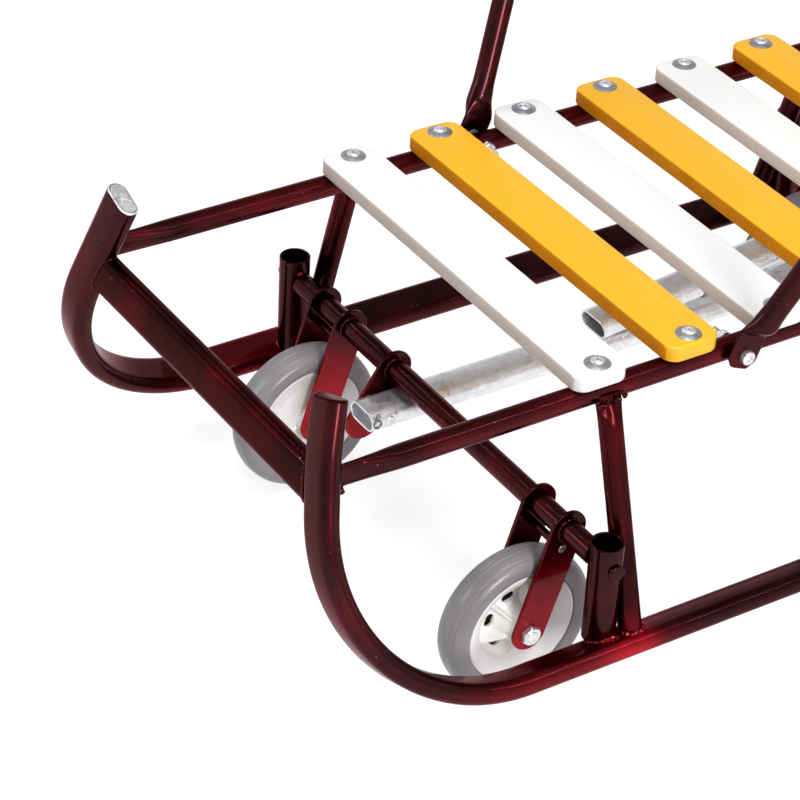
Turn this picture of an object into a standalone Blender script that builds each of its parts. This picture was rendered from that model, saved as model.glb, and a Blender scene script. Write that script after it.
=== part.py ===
"""Stroller sled: bent flat-oval runners, a slatted seat, wheels that fold away and a push handle.

Metres, +Z up. The sled faces -Y and its left side is +X. The origin lies on the floor, under the
middle of the bounding box, with the wheels down. The rear half follows the front half's
construction, because only the front of such a sled can be seen from its usual side.
"""

from math import atan2, cos, hypot, pi, radians, sin, tan

import bmesh
import bpy
from mathutils import Matrix, Vector

# Clearances
CONTACT_GAP = 0.0003
RUNNING_GAP = 0.0003
SIDE_PLAY = 0.0003
ARM_PLAY = 0.0006

# Whole sled
LENGTH = 0.840
SEAT_HEIGHT = 0.2595
SIDE_TILT = radians(19.7)

# Seat slats
SLAT_COUNT = 8
SLAT_PITCH = 0.0732
SLAT_LENGTH = 0.3235
SLAT_WIDTH = 0.042
SLAT_THICKNESS = 0.012
SLAT_CORNER_RADIUS = 0.010
SLAT_ROUND_OVER = 0.0018
FIRST_SLAT_FROM_NOSE = 0.218

# Round tube of the rails, the handle and the backrest
TUBE_RADIUS = 0.008
TUBE_WALL = 0.0015
RAIL_INSET = 0.00975
RAIL_REAR_Y = 0.3735

# Flat-oval tube of the runners, the front crossbar and the link bars
OVAL_WIDTH = 0.030
OVAL_THICKNESS = 0.015
OVAL_WALL = 0.0015

# Runners
RUNNER_FROM_RAIL = 0.0567
RUNNER_CLEARANCE = 0.0609
NOSE_RADIUS = 0.130
NOSE_SWEEP = radians(101.0)
TIP_LENGTH = 0.077
PLUG_CAP = 0.0012
PLUG_DEPTH = 0.012

# Front crossbar between the runner noses
CROSSBAR_BELOW_RAIL = 0.0107
CROSSBAR_SETBACK = 0.003
CROSSBAR_LAP = 0.002

# Legs between the runners and the rails
LEG_TOP_FROM_RAIL = 0.006
LEG_RADIUS = 0.00825
LEG_WALL = 0.0015
FRONT_LEG_FROM_NOSE = 0.224
LEG_SPACING = 0.4255

# Open-topped posts that carry the wheel pivots
POST_FROM_RUNNER = 0.0097
POST_RADIUS = 0.0115
POST_WALL = 0.0018
POST_TOP_Z = 0.1535
POST_FROM_LEG = 0.0205
PIVOT_Z = 0.1357
ROD_RADIUS = 0.004
ROD_HEAD_RADIUS = 0.006
ROD_HEAD_HEIGHT = 0.0052
# Shares of the head's radius and height, from its top down
ROD_HEAD_DOME = ((0.0, 1.0), (0.55, 0.88), (0.88, 0.58), (1.0, 0.25))

# Swing tube, which turns on the rod
SWING_RADIUS = 0.00835
SWING_WALL = 0.0015
BUSH_LENGTH = 0.014

# Wheel forks
WHEEL_FROM_POST = 0.0605
FORK_THICKNESS = 0.003
FORK_HEAD_RADIUS = 0.014
FORK_END_RADIUS = 0.013
FORK_LEAN = radians(18.0)
SPACER_RADIUS = 0.003
SPACER_DROP = 0.0145

# Wheels
WHEEL_RADIUS = 0.0575
TYRE_WIDTH = 0.026
# Shares of the tyre's height and half width, from the hub out to the tread
TYRE_SECTION = ((0.0, 0.84), (0.30, 0.99), (0.68, 0.95), (0.92, 0.70), (1.0, 0.30))
HUB_RADIUS = 0.0424
HUB_WIDTH = 0.0314
HUB_RIM_WIDTH = 0.021
HUB_RIM_WALL = 0.003
HUB_BOSS_RADIUS = 0.011
HUB_WEB = 0.008
HUB_DISH_RADIUS = 0.028
HUB_RING_WIDTH = 0.018
HUB_SLOPE = 0.002
HUB_HOLES = 6
HUB_HOLE_AT = 0.0215
HUB_HOLE_TURN = radians(15.0)
HUB_HOLE_LENGTH = 0.009
HUB_HOLE_WIDTH = 0.005
BOLT_RADIUS = 0.004
BOLT_HEX = 0.013
BOLT_HEAD_HEIGHT = 0.0053
BOLT_NUT_HEIGHT = 0.0065
BOLT_STICKOUT = 0.002
HEAD_LAP = 0.001

# Link between the front and the rear forks
LINK_PLATE_X = -0.0605
LINK_ARM = 0.029
LINK_LEAN = radians(48.0)
LINK_PLATE_LEAN = radians(33.0)
LINK_PLATE_REACH = 0.0445
LINK_PLATE_END_RADIUS = 0.0145
LINK_PIN_RADIUS = 0.004
LINK_BAR_END = 0.015
LINK_PIN_STICKOUT = 0.0005
LEVER_FRONT_Y = -0.0545
LEVER_REAR_Y = 0.400
LEVER_RISE = radians(6.4)

# Pressed-flat feet of the handle and the backrest
FOOT_THICKNESS = 0.0038
FOOT_WIDTH = 0.025
FOOT_BELOW = 0.0095
FOOT_FLAT_ABOVE = 0.014
FOOT_TAPER = 0.014
FOOT_SIDESTEP = 0.0066
FOOT_BOLT_RADIUS = 0.003
FOOT_BOLT_HEAD_RADIUS = 0.0055
FOOT_BOLT_HEAD_HEIGHT = 0.0024
FOOT_NUT_HEX = 0.010
FOOT_NUT_HEIGHT = 0.005
FOOT_BOLT_STICKOUT = 0.008
FOOT_WASHER_RADIUS = 0.006

# Push handle
HANDLE_FROM_NOSE = 0.330
HANDLE_LEAN = radians(22.6)
HANDLE_SPLAY = 0.0625
HANDLE_BEND_Z = 0.4287
HANDLE_UPPER_LEAN = radians(40.0)
HANDLE_TOP_Z = 0.8795
HANDLE_BEND_RADIUS = 0.060
HANDLE_CORNER_RADIUS = 0.070
GRIP_RADIUS = 0.013
GRIP_LENGTH = 0.240

# Backrest
BACKREST_Y = 0.3455
BACKREST_LEAN = radians(12.0)
BACKREST_HEIGHT = 0.275
BACKREST_CORNER_RADIUS = 0.050
BOARD_HEIGHT = 0.110
BOARD_FROM_PIVOT = 0.125
BOARD_OVERLAP = 0.006

# Facets
ROUND_SIDES = 12
WHEEL_STEPS = 24
OVAL_ARC = 4
BEND_ARC = 4
NOSE_ARC = 12
PLATE_ARC = 8
TAPER_STEPS = 2
FASTENER_SIDES = 10

# Places that follow from the sizes
NOSE_Y = -LENGTH / 2
RAIL_Z = SEAT_HEIGHT - SLAT_THICKNESS - CONTACT_GAP - TUBE_RADIUS
CROSSBAR_Z = RAIL_Z - CROSSBAR_BELOW_RAIL
RAIL_X = SLAT_LENGTH / 2 - RAIL_INSET
RUNNER_X = RAIL_X + RUNNER_FROM_RAIL
LEG_TOP_X = RAIL_X + LEG_TOP_FROM_RAIL
POST_X = RUNNER_X - POST_FROM_RUNNER
WHEEL_X = POST_X - WHEEL_FROM_POST
HANDLE_SPLAY_X = RAIL_X + HANDLE_SPLAY
FIRST_SLAT_Y = NOSE_Y + FIRST_SLAT_FROM_NOSE
HANDLE_Y = NOSE_Y + HANDLE_FROM_NOSE
OVAL_FLAT = OVAL_WIDTH - OVAL_THICKNESS
RUNNER_Z = RUNNER_CLEARANCE + OVAL_THICKNESS / 2 + OVAL_FLAT / 2 * sin(SIDE_TILT)
NOSE_START_Y = NOSE_Y + OVAL_THICKNESS / 2 + NOSE_RADIUS
LEG_Y = {"front": NOSE_Y + FRONT_LEG_FROM_NOSE, "rear": NOSE_Y + FRONT_LEG_FROM_NOSE + LEG_SPACING}
POST_Y = {"front": LEG_Y["front"] - POST_FROM_LEG, "rear": LEG_Y["rear"] + POST_FROM_LEG}
SWING_HALF = POST_X - POST_RADIUS - ARM_PLAY
FORK_HALF_SPAN = HUB_WIDTH / 2 + SIDE_PLAY + FORK_THICKNESS / 2
FORK_DROP = PIVOT_Z - WHEEL_RADIUS
WHEEL_FORWARD = FORK_DROP * tan(FORK_LEAN)
LINK_BAR_X = LINK_PLATE_X + FORK_THICKNESS / 2 + SIDE_PLAY + OVAL_WIDTH / 2
LINK_PIN_Z = PIVOT_Z - LINK_ARM * cos(LINK_LEAN)
LINK_PIN_FORWARD = LINK_ARM * sin(LINK_LEAN)
FOOT_INNER_X = max(SLAT_LENGTH / 2, RAIL_X + TUBE_RADIUS) + ARM_PLAY
FOOT_X = FOOT_INNER_X + FOOT_THICKNESS / 2
SIDES = {"left": 1, "right": -1}
ENDS = ("front", "rear")

# Turns a side-view outline upright: its x runs along the sled, its y upwards, its z across
SIDE_VIEW = Matrix(((0, 0, 1, 0), (1, 0, 0, 0), (0, 1, 0, 0), (0, 0, 0, 1)))
# Turns a piece that was turned about its own z axis so that this axis lies across the sled
ACROSS = Matrix.Rotation(pi / 2, 4, "Y")


# Scene, collections and materials
def clear_scene():
    """Removes every object of the open file."""
    for obj in list(bpy.data.objects):
        bpy.data.objects.remove(obj, do_unlink=True)


def new_collection(name):
    """Makes a collection in the scene."""
    collection = bpy.data.collections.new(name)
    bpy.context.scene.collection.children.link(collection)
    return collection


def principled(name, color, roughness, metallic=0.0, coat=0.0):
    """A material from one Principled BSDF."""
    material = bpy.data.materials.new(name)
    material.use_nodes = True
    shader = material.node_tree.nodes["Principled BSDF"]
    shader.inputs["Base Color"].default_value = (*color, 1.0)
    shader.inputs["Roughness"].default_value = roughness
    shader.inputs["Metallic"].default_value = metallic
    shader.inputs["Coat Weight"].default_value = coat
    return material


def sled_paint(name):
    """Deep garnet-red gloss paint."""
    return principled(name + "_paint", (0.16, 0.010, 0.022), 0.22, 0.35, 0.8)


def zinc(name):
    """Bare galvanised steel."""
    return principled(name + "_zinc", (0.62, 0.63, 0.65), 0.34, 0.9)


def white_lacquer(name):
    """White lacquer on plywood."""
    return principled(name + "_white", (0.90, 0.89, 0.87), 0.30)


def yellow_lacquer(name):
    """Warm yellow lacquer on plywood."""
    return principled(name + "_yellow", (0.97, 0.55, 0.035), 0.30)


def grey_rubber(name):
    """Light warm grey solid rubber."""
    return principled(name + "_rubber", (0.42, 0.40, 0.38), 0.75)


def white_plastic(name):
    """White moulded plastic."""
    return principled(name + "_plastic", (0.86, 0.86, 0.85), 0.40)


def black_foam(name):
    """Black closed-cell foam."""
    return principled(name + "_foam", (0.03, 0.03, 0.032), 0.85)


# Building helpers
def place(name, data, collection, matrix=None):
    """Makes an object from a mesh or curve and puts it in a collection."""
    obj = bpy.data.objects.new(name, data)
    collection.objects.link(obj)
    if matrix is not None:
        obj.matrix_world = matrix
    return obj


def smooth(mesh, angle=radians(35.0)):
    """Shades a round piece smooth and keeps its real edges sharp."""
    mesh.shade_smooth()
    mesh.set_sharp_from_angle(angle=angle)


def finished_mesh(obj, weld=0.000001):
    """The object's evaluated mesh, welded, as a mesh of its own."""
    bpy.context.view_layer.update()
    depsgraph = bpy.context.evaluated_depsgraph_get()
    mesh = bpy.data.meshes.new_from_object(obj.evaluated_get(depsgraph), depsgraph=depsgraph)
    shape = bmesh.new()
    shape.from_mesh(mesh)
    bmesh.ops.remove_doubles(shape, verts=shape.verts, dist=weld)
    shape.to_mesh(mesh)
    shape.free()
    return mesh


def baked(obj, *tools):
    """Swaps an object for a plain mesh object in the same place, and removes its tools."""
    mesh = finished_mesh(obj)
    name = obj.name
    matrix = obj.matrix_world.copy()
    collection = obj.users_collection[0]
    bpy.data.objects.remove(obj, do_unlink=True)
    for tool in tools:
        bpy.data.objects.remove(tool, do_unlink=True)
    mesh.name = name
    return place(name, mesh, collection, matrix)


def boolean(obj, tool, operation="DIFFERENCE"):
    """Cuts a piece with a tool, or joins the tool to it."""
    modifier = obj.modifiers.new(operation.lower(), "BOOLEAN")
    modifier.operation = operation
    modifier.solver = "EXACT"
    modifier.object = tool
    return obj


def hide_tool(obj):
    """Marks a cutter or guide, which is no piece of the sled."""
    obj.hide_render = True
    obj.display_type = "WIRE"
    return obj


def line_curve(name, points, dimensions="3D"):
    """A curve through straight stretches between the points."""
    curve = bpy.data.curves.new(name, "CURVE")
    curve.dimensions = dimensions
    add_loop(curve, points, closed=False)
    return curve


def add_loop(curve, points, closed=True):
    """Adds one run of straight stretches to a curve."""
    spline = curve.splines.new("POLY")
    spline.points.add(len(points) - 1)
    for slot, point in zip(spline.points, points):
        slot.co = (*Vector(point).to_3d(), 1.0)
    spline.use_cyclic_u = closed


def flat_outline(name, loops, thickness):
    """A flat plate from closed loops, of which the inner ones are holes."""
    curve = bpy.data.curves.new(name, "CURVE")
    curve.dimensions = "2D"
    curve.fill_mode = "BOTH"
    curve.extrude = thickness / 2
    for loop in loops:
        add_loop(curve, loop)
    return curve


def shell(obj, wall):
    """Gives an open surface a wall that grows inwards."""
    modifier = obj.modifiers.new("wall", "SOLIDIFY")
    modifier.thickness = wall
    modifier.offset = -1.0
    modifier.use_even_offset = True
    return obj


def tube(name, points, radius, wall, collection):
    """A round tube with open ends along a path."""
    curve = line_curve(name, points)
    curve.bevel_depth = radius
    curve.bevel_resolution = (ROUND_SIDES - 4) // 2
    surface = baked(place(name, curve, collection))
    return surface if wall is None else shell(surface, wall)


def rod_tool(name, start, end, radius, collection, sides=ROUND_SIDES):
    """A solid round bar between two points, as a cutter or as a shape to join."""
    start, end = Vector(start), Vector(end)
    mesh = bpy.data.meshes.new(name)
    shape = bmesh.new()
    bmesh.ops.create_cone(
        shape, cap_ends=True, segments=sides, radius1=radius, radius2=radius, depth=(end - start).length
    )
    shape.to_mesh(mesh)
    shape.free()
    turn = (end - start).to_track_quat("Z", "Y").to_matrix().to_4x4()
    matrix = Matrix.Translation((start + end) / 2) @ turn
    return hide_tool(place(name, mesh, collection, matrix))


def turned(name, profile, collection, steps, closed, matrix):
    """A turned piece from points of (radius, height), from the top down its outer side."""
    mesh = bpy.data.meshes.new(name)
    shape = bmesh.new()
    corners = [shape.verts.new((radius, 0.0, height)) for radius, height in profile]
    for first, second in zip(corners, corners[1:]):
        shape.edges.new((first, second))
    if closed:
        shape.edges.new((corners[-1], corners[0]))
    shape.to_mesh(mesh)
    shape.free()
    obj = place(name, mesh, collection, matrix)
    screw = obj.modifiers.new("turn", "SCREW")
    screw.steps = steps
    screw.render_steps = steps
    screw.use_merge_vertices = True
    screw.merge_threshold = 0.00001
    return baked(obj)


def circle(center, radius, count, start=0.0):
    """Points round a circle."""
    angles = [start + 2 * pi * i / count for i in range(count)]
    return [(center[0] + radius * cos(angle), center[1] + radius * sin(angle)) for angle in angles]


def arc(center, radius, start, sweep, count):
    """Points along an arc, with both its ends."""
    return [
        (
            center[0] + radius * cos(start + sweep * i / count),
            center[1] + radius * sin(start + sweep * i / count),
        )
        for i in range(count + 1)
    ]


def flat_oval(width, thickness, upright=False):
    """Outline of a flat oval with its long axis along x, or along y when upright."""
    half = (width - thickness) / 2
    points = arc((half, 0), thickness / 2, -pi / 2, pi, OVAL_ARC)
    points += arc((-half, 0), thickness / 2, pi / 2, pi, OVAL_ARC)
    return [(-y, x) for x, y in points] if upright else points


def strap(center_a, radius_a, center_b, radius_b, count):
    """Outline round two circles, joined by their common tangents."""
    along = atan2(center_b[1] - center_a[1], center_b[0] - center_a[0])
    distance = hypot(center_b[0] - center_a[0], center_b[1] - center_a[1])
    lean = (radius_a - radius_b) / distance
    points = arc(center_b, radius_b, along - pi / 2 + lean, pi - 2 * lean, count)
    points += arc(center_a, radius_a, along + pi / 2 - lean, pi + 2 * lean, count)
    return points


def rounded_path(points, radii, count=BEND_ARC):
    """A path with each inner corner rounded by its own radius."""
    points = [Vector(p) for p in points]
    path = [points[0]]
    for before, corner, after, radius in zip(points, points[1:], points[2:], radii):
        incoming = (before - corner).normalized()
        outgoing = (after - corner).normalized()
        half = incoming.angle(outgoing) / 2
        center = corner + (incoming + outgoing).normalized() * radius / sin(half)
        first = corner + incoming * radius / tan(half) - center
        last = corner + outgoing * radius / tan(half) - center
        turn = first.rotation_difference(last)
        for i in range(count + 1):
            path.append(center + Matrix.Rotation(turn.angle * i / count, 3, turn.axis) @ first)
    path.append(points[-1])
    return path


def side_frame(side):
    """Places a side-view outline in the leaning plane of one side frame, with its base on the runner."""
    lean = Matrix.Rotation(-SIDES[side] * SIDE_TILT, 4, "Y")
    return Matrix.Translation((SIDES[side] * RUNNER_X, 0, RUNNER_Z)) @ lean @ SIDE_VIEW


def up_the_frame(height):
    """How far up the leaning side frame a height above the floor lies."""
    return (height - RUNNER_Z) / cos(SIDE_TILT)


def frame_x(height):
    """How far out the runner's leaning plane lies at a height above the floor."""
    return RUNNER_X - (height - RUNNER_Z) * tan(SIDE_TILT)


# Runners with their tip plugs
def runner_path():
    """The runner's centre line in its side frame, from its rear end to its tip."""
    path = [(LENGTH / 2, 0.0)]
    nose = arc((NOSE_START_Y, NOSE_RADIUS), NOSE_RADIUS, -pi / 2, -NOSE_SWEEP, NOSE_ARC)
    path += nose
    last = nose[-1]
    path.append((last[0] - TIP_LENGTH * cos(NOSE_SWEEP), last[1] + TIP_LENGTH * sin(NOSE_SWEEP)))
    return path


def tip_y(height):
    """How far along the sled the straight tip's centre line lies at a height above the floor."""
    tip = runner_path()[-1]
    return tip[0] + (tip[1] - up_the_frame(height)) / tan(NOSE_SWEEP)


def runner_sweep(name, grow, capped, side, collection):
    """The flat oval swept along the runner's centre line."""
    outline = flat_oval(OVAL_WIDTH + 2 * grow, OVAL_THICKNESS + 2 * grow, upright=True)
    profile_curve = bpy.data.curves.new(name + "_profile", "CURVE")
    profile_curve.dimensions = "2D"
    add_loop(profile_curve, outline[::-1])
    profile = hide_tool(place(name + "_profile", profile_curve, collection))
    curve = line_curve(name, runner_path(), dimensions="2D")
    curve.bevel_mode = "OBJECT"
    curve.bevel_object = profile
    curve.use_fill_caps = capped
    return baked(place(name, curve, collection, side_frame(side)), profile)


def make_runner(side, parts):
    """One runner: a flat-oval tube that curls up into the nose."""
    runner = shell(runner_sweep("runner_" + side, 0.0, False, side, parts), OVAL_WALL)
    smooth(runner.data)
    runner.data.materials.append(sled_paint(runner.name))


def make_tip_plug(side, parts, tools):
    """The plug that closes a runner's tip: a thin cap with a core in the tube's bore."""
    name = "tip_plug_" + side
    inner = -2 * OVAL_WALL - 2 * CONTACT_GAP
    cap = flat_outline(name, [flat_oval(OVAL_WIDTH, OVAL_THICKNESS)], PLUG_CAP)
    core = flat_outline(name + "_core", [flat_oval(OVAL_WIDTH + inner, OVAL_THICKNESS + inner)], PLUG_DEPTH)
    tip = Vector(runner_path()[-1])
    turn = Matrix.Rotation(pi / 2 - NOSE_SWEEP, 4, "Z") @ SIDE_VIEW.inverted()
    seat = side_frame(side) @ Matrix.Translation(tip.to_3d()) @ turn
    lift = CONTACT_GAP + PLUG_CAP / 2
    plug = baked(place(name, cap, parts, seat @ upright_shift(lift)))
    stem = baked(place(name + "_core", core, tools, seat @ upright_shift(lift - PLUG_DEPTH / 2)))
    plug = baked(boolean(plug, stem, "UNION"), stem)
    plug.data.materials.append(sled_paint(name) if side == "left" else zinc(name))


def upright_shift(distance):
    """A shift along a piece's own z axis."""
    return Matrix.Translation((0, 0, distance))


# Frame
def make_front_crossbar(parts, keepouts):
    """The flat-oval crossbar between the runner noses."""
    name = "front_crossbar"
    lean = atan2(cos(SIDE_TILT) * sin(NOSE_SWEEP), -cos(NOSE_SWEEP))
    loops = [flat_oval(OVAL_WIDTH, OVAL_THICKNESS)]
    loops.append(flat_oval(OVAL_WIDTH - 2 * OVAL_WALL, OVAL_THICKNESS - 2 * OVAL_WALL))
    half = frame_x(CROSSBAR_Z) - OVAL_WIDTH / 2 * cos(SIDE_TILT) + CROSSBAR_LAP
    curve = flat_outline(name, loops, 2 * half)
    place_at = Matrix.Translation((0, tip_y(CROSSBAR_Z) + CROSSBAR_SETBACK, CROSSBAR_Z))
    bar = baked(place(name, curve, parts, place_at @ SIDE_VIEW @ Matrix.Rotation(lean, 4, "Z")))
    for keepout in keepouts:
        boolean(bar, keepout)
    smooth(bar.data)
    bar.data.materials.append(sled_paint(name))


def make_rear_crossbar(parts, rail_keepouts):
    """The round crossbar between the rear ends of the rails."""
    name = "rear_crossbar"
    y = RAIL_REAR_Y - TUBE_RADIUS
    bar = tube(name, [(-RAIL_X, y, RAIL_Z), (RAIL_X, y, RAIL_Z)], TUBE_RADIUS, TUBE_WALL, parts)
    for keepout in rail_keepouts:
        boolean(bar, keepout)
    smooth(bar.data)
    bar.data.materials.append(sled_paint(name))


def make_rail(side, parts, runner_keepout, bolt_holes):
    """One seat rail, from the runner's nose to the rear crossbar."""
    name = "seat_rail_" + side
    x = SIDES[side] * RAIL_X
    rail = tube(name, [(x, tip_y(RAIL_Z), RAIL_Z), (x, RAIL_REAR_Y, RAIL_Z)], TUBE_RADIUS, TUBE_WALL, parts)
    boolean(rail, runner_keepout)
    for hole in bolt_holes:
        boolean(rail, hole)
    smooth(rail.data)
    rail.data.materials.append(sled_paint(name))


def make_leg(end, side, parts, runner_keepout, rail_keepout):
    """One leg, mitred onto the runner and round the outer side of the rail."""
    name = "leg_" + end + "_" + side
    across = SIDES[side]
    foot = (across * RUNNER_X, LEG_Y[end], RUNNER_Z)
    head = (across * LEG_TOP_X, LEG_Y[end], RAIL_Z)
    leg = tube(name, [foot, head], LEG_RADIUS, LEG_WALL, parts)
    boolean(leg, runner_keepout)
    boolean(leg, rail_keepout)
    smooth(leg.data)
    leg.data.materials.append(sled_paint(name))


# Wheel pivots
def make_post(end, side, parts, runner_keepout, rod_hole):
    """One open-topped post on the runner, drilled for the pivot rod."""
    name = "pivot_post_" + end + "_" + side
    x = SIDES[side] * POST_X
    foot_z = RUNNER_Z + OVAL_THICKNESS / 2 / cos(SIDE_TILT) - (RUNNER_X - POST_X) * tan(SIDE_TILT)
    y = POST_Y[end]
    post = tube(name, [(x, y, foot_z), (x, y, POST_TOP_Z)], POST_RADIUS, POST_WALL, parts)
    boolean(post, runner_keepout)
    boolean(post, rod_hole)
    smooth(post.data)
    post.data.materials.append(sled_paint(name))


def make_rod(end, parts):
    """The pivot rod through both posts, with a domed head at each end."""
    seat = POST_X + POST_RADIUS + CONTACT_GAP
    half = [(ROD_HEAD_RADIUS * across, seat + ROD_HEAD_HEIGHT * up) for across, up in ROD_HEAD_DOME]
    half += [(ROD_HEAD_RADIUS, seat), (ROD_RADIUS, seat)]
    profile = half + [(radius, -height) for radius, height in reversed(half)]
    matrix = Matrix.Translation((0, POST_Y[end], PIVOT_Z)) @ ACROSS
    rod = turned("pivot_rod_" + end, profile, parts, ROUND_SIDES, False, matrix)
    smooth(rod.data)
    rod.data.materials.append(zinc(rod.name))


def make_swing_tube(end, parts):
    """The tube that turns on the rod and carries the forks, with a bush at each end."""
    bore = ROD_RADIUS + RUNNING_GAP
    inner = SWING_RADIUS - SWING_WALL
    half = SWING_HALF
    bush = half - BUSH_LENGTH
    profile = [(SWING_RADIUS, half), (SWING_RADIUS, -half), (bore, -half), (bore, -bush)]
    profile += [(inner, -bush), (inner, bush), (bore, bush), (bore, half)]
    matrix = Matrix.Translation((0, POST_Y[end], PIVOT_Z)) @ ACROSS
    swing = turned("swing_tube_" + end, profile, parts, ROUND_SIDES, True, matrix)
    smooth(swing.data)
    swing.data.materials.append(sled_paint(swing.name))


# Forks and wheels
def fork_places(side):
    """The two fork plates of a wheel, by name, with their places across the sled."""
    center = SIDES[side] * WHEEL_X
    outward = SIDES[side] * FORK_HALF_SPAN
    return {"outer": center + outward, "inner": center - outward}


def fork_outline():
    """The fork plate seen from the side, from the pivot down to the wheel bolt."""
    axle = (-WHEEL_FORWARD, -FORK_DROP)
    loops = [strap((0, 0), FORK_HEAD_RADIUS, axle, FORK_END_RADIUS, PLATE_ARC)]
    loops.append(circle((0, 0), SWING_RADIUS + CONTACT_GAP, ROUND_SIDES))
    loops.append(circle(axle, BOLT_RADIUS + CONTACT_GAP, FASTENER_SIDES))
    return loops


def make_fork_plates(end, side, parts, tools):
    """The two plates that hold one wheel. The outer one carries the spacer between them."""
    for layer, x in fork_places(side).items():
        name = "_".join(("fork", layer, end, side))
        matrix = Matrix.Translation((x, POST_Y[end], PIVOT_Z)) @ SIDE_VIEW
        plate = baked(place(name, flat_outline(name, fork_outline(), FORK_THICKNESS), parts, matrix))
        if layer == "outer":
            inward = -SIDES[side]
            z = PIVOT_Z - SPACER_DROP * cos(FORK_LEAN)
            y = POST_Y[end] - SPACER_DROP * sin(FORK_LEAN)
            far = x + inward * (2 * FORK_HALF_SPAN - FORK_THICKNESS / 2 - CONTACT_GAP)
            start, stop = (x, y, z), (far, y, z)
            spacer = rod_tool(name + "_spacer", start, stop, SPACER_RADIUS, tools, FASTENER_SIDES)
            plate = baked(boolean(plate, spacer, "UNION"), spacer)
        plate.data.materials.append(sled_paint(name))


def tyre_profile():
    """Half of the tyre's section: a soft crown, a rounded shoulder and a flat inner face."""
    inner = HUB_RADIUS + CONTACT_GAP
    height = WHEEL_RADIUS - inner
    return [(inner + height * up, TYRE_WIDTH / 2 * across) for up, across in TYRE_SECTION]


def hub_profile():
    """Half of the hub's section: the boss, the sunken web, the broad ring round it and the rim."""
    return [
        (HUB_BOSS_RADIUS, HUB_WIDTH / 2),
        (HUB_BOSS_RADIUS + HUB_SLOPE, HUB_WEB / 2),
        (HUB_DISH_RADIUS - HUB_SLOPE, HUB_WEB / 2),
        (HUB_DISH_RADIUS, HUB_RING_WIDTH / 2),
        (HUB_RADIUS - HUB_RIM_WALL, HUB_RIM_WIDTH / 2),
        (HUB_RADIUS, HUB_RIM_WIDTH / 2),
    ]


def hub_hole_tool(index, tools):
    """One of the slots through the hub's web, as a cutter about the hub's own axis."""
    angle = HUB_HOLE_TURN + 2 * pi * index / HUB_HOLES
    outline = flat_oval(HUB_HOLE_LENGTH, HUB_HOLE_WIDTH)[::2]
    curve = flat_outline("hub_hole", [outline], HUB_WIDTH)
    turn = Matrix.Rotation(angle, 4, "Z")
    lengthways = Matrix.Rotation(pi / 2, 4, "Z")
    matrix = turn @ Matrix.Translation((HUB_HOLE_AT, 0, 0)) @ lengthways
    return baked(hide_tool(place("hub_hole", curve, tools, matrix)))


def hub_mesh(tools):
    """The hub turned about its own z axis, with its slots."""
    half = hub_profile()
    bore = BOLT_RADIUS + RUNNING_GAP
    lower = [(radius, -height) for radius, height in reversed(half)]
    profile = half + lower + [(bore, -HUB_WIDTH / 2), (bore, HUB_WIDTH / 2)]
    hub = turned("hub", profile, tools, WHEEL_STEPS, True, Matrix.Identity(4))
    holes = [hub_hole_tool(index, tools) for index in range(HUB_HOLES)]
    for hole in holes:
        boolean(hub, hole)
    hub = baked(hub, *holes)
    mesh = hub.data
    bpy.data.objects.remove(hub, do_unlink=True)
    smooth(mesh)
    mesh.materials.append(white_plastic("hub"))
    return mesh


def tyre_mesh(tools):
    """The tyre turned about its own z axis."""
    half = tyre_profile()
    profile = half + [(radius, -height) for radius, height in reversed(half)]
    tyre = turned("tyre", profile, tools, WHEEL_STEPS, True, Matrix.Identity(4))
    mesh = tyre.data
    bpy.data.objects.remove(tyre, do_unlink=True)
    smooth(mesh)
    mesh.materials.append(grey_rubber("tyre"))
    return mesh


def axle_point(end, side):
    """The middle of a wheel."""
    return Vector((SIDES[side] * WHEEL_X, POST_Y[end] - WHEEL_FORWARD, WHEEL_RADIUS))


def make_wheel(end, side, parts, hub, tyre):
    """One wheel: the hub and the tyre, which turn together on the wheel bolt."""
    matrix = Matrix.Translation(axle_point(end, side)) @ ACROSS
    place("_".join(("hub", end, side)), hub, parts, matrix)
    place("_".join(("tyre", end, side)), tyre, parts, matrix)


def make_wheel_bolt(end, side, parts, tools):
    """The hexagon bolt through a fork, with its nut on the inner side."""
    name = "_".join(("wheel_bolt", end, side))
    center = axle_point(end, side)
    outward = Vector((SIDES[side], 0, 0))
    face = FORK_HALF_SPAN + FORK_THICKNESS / 2 + CONTACT_GAP
    hexagon = BOLT_HEX / 2 / cos(pi / 6)

    def point(distance):
        return center + outward * distance

    tip = point(-face - BOLT_NUT_HEIGHT - BOLT_STICKOUT)
    bolt = rod_tool(name, point(face + HEAD_LAP), tip, BOLT_RADIUS, tools, FASTENER_SIDES)
    head = rod_tool("head", point(face), point(face + BOLT_HEAD_HEIGHT), hexagon, tools, 6)
    nut = rod_tool("nut", point(-face), point(-face - BOLT_NUT_HEIGHT), hexagon, tools, 6)
    boolean(bolt, head, "UNION")
    boolean(bolt, nut, "UNION")
    finish_fastener(bolt, parts, head, nut)


def finish_fastener(bolt, parts, *shapes):
    """Joins a bolt's shapes and moves it to the sled's pieces."""
    name = bolt.name
    tools = bolt.users_collection[0]
    bolt = baked(bolt, *shapes)
    tools.objects.unlink(bolt)
    parts.objects.link(bolt)
    smooth(bolt.data)
    bolt.data.materials.append(zinc(name))


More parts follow.
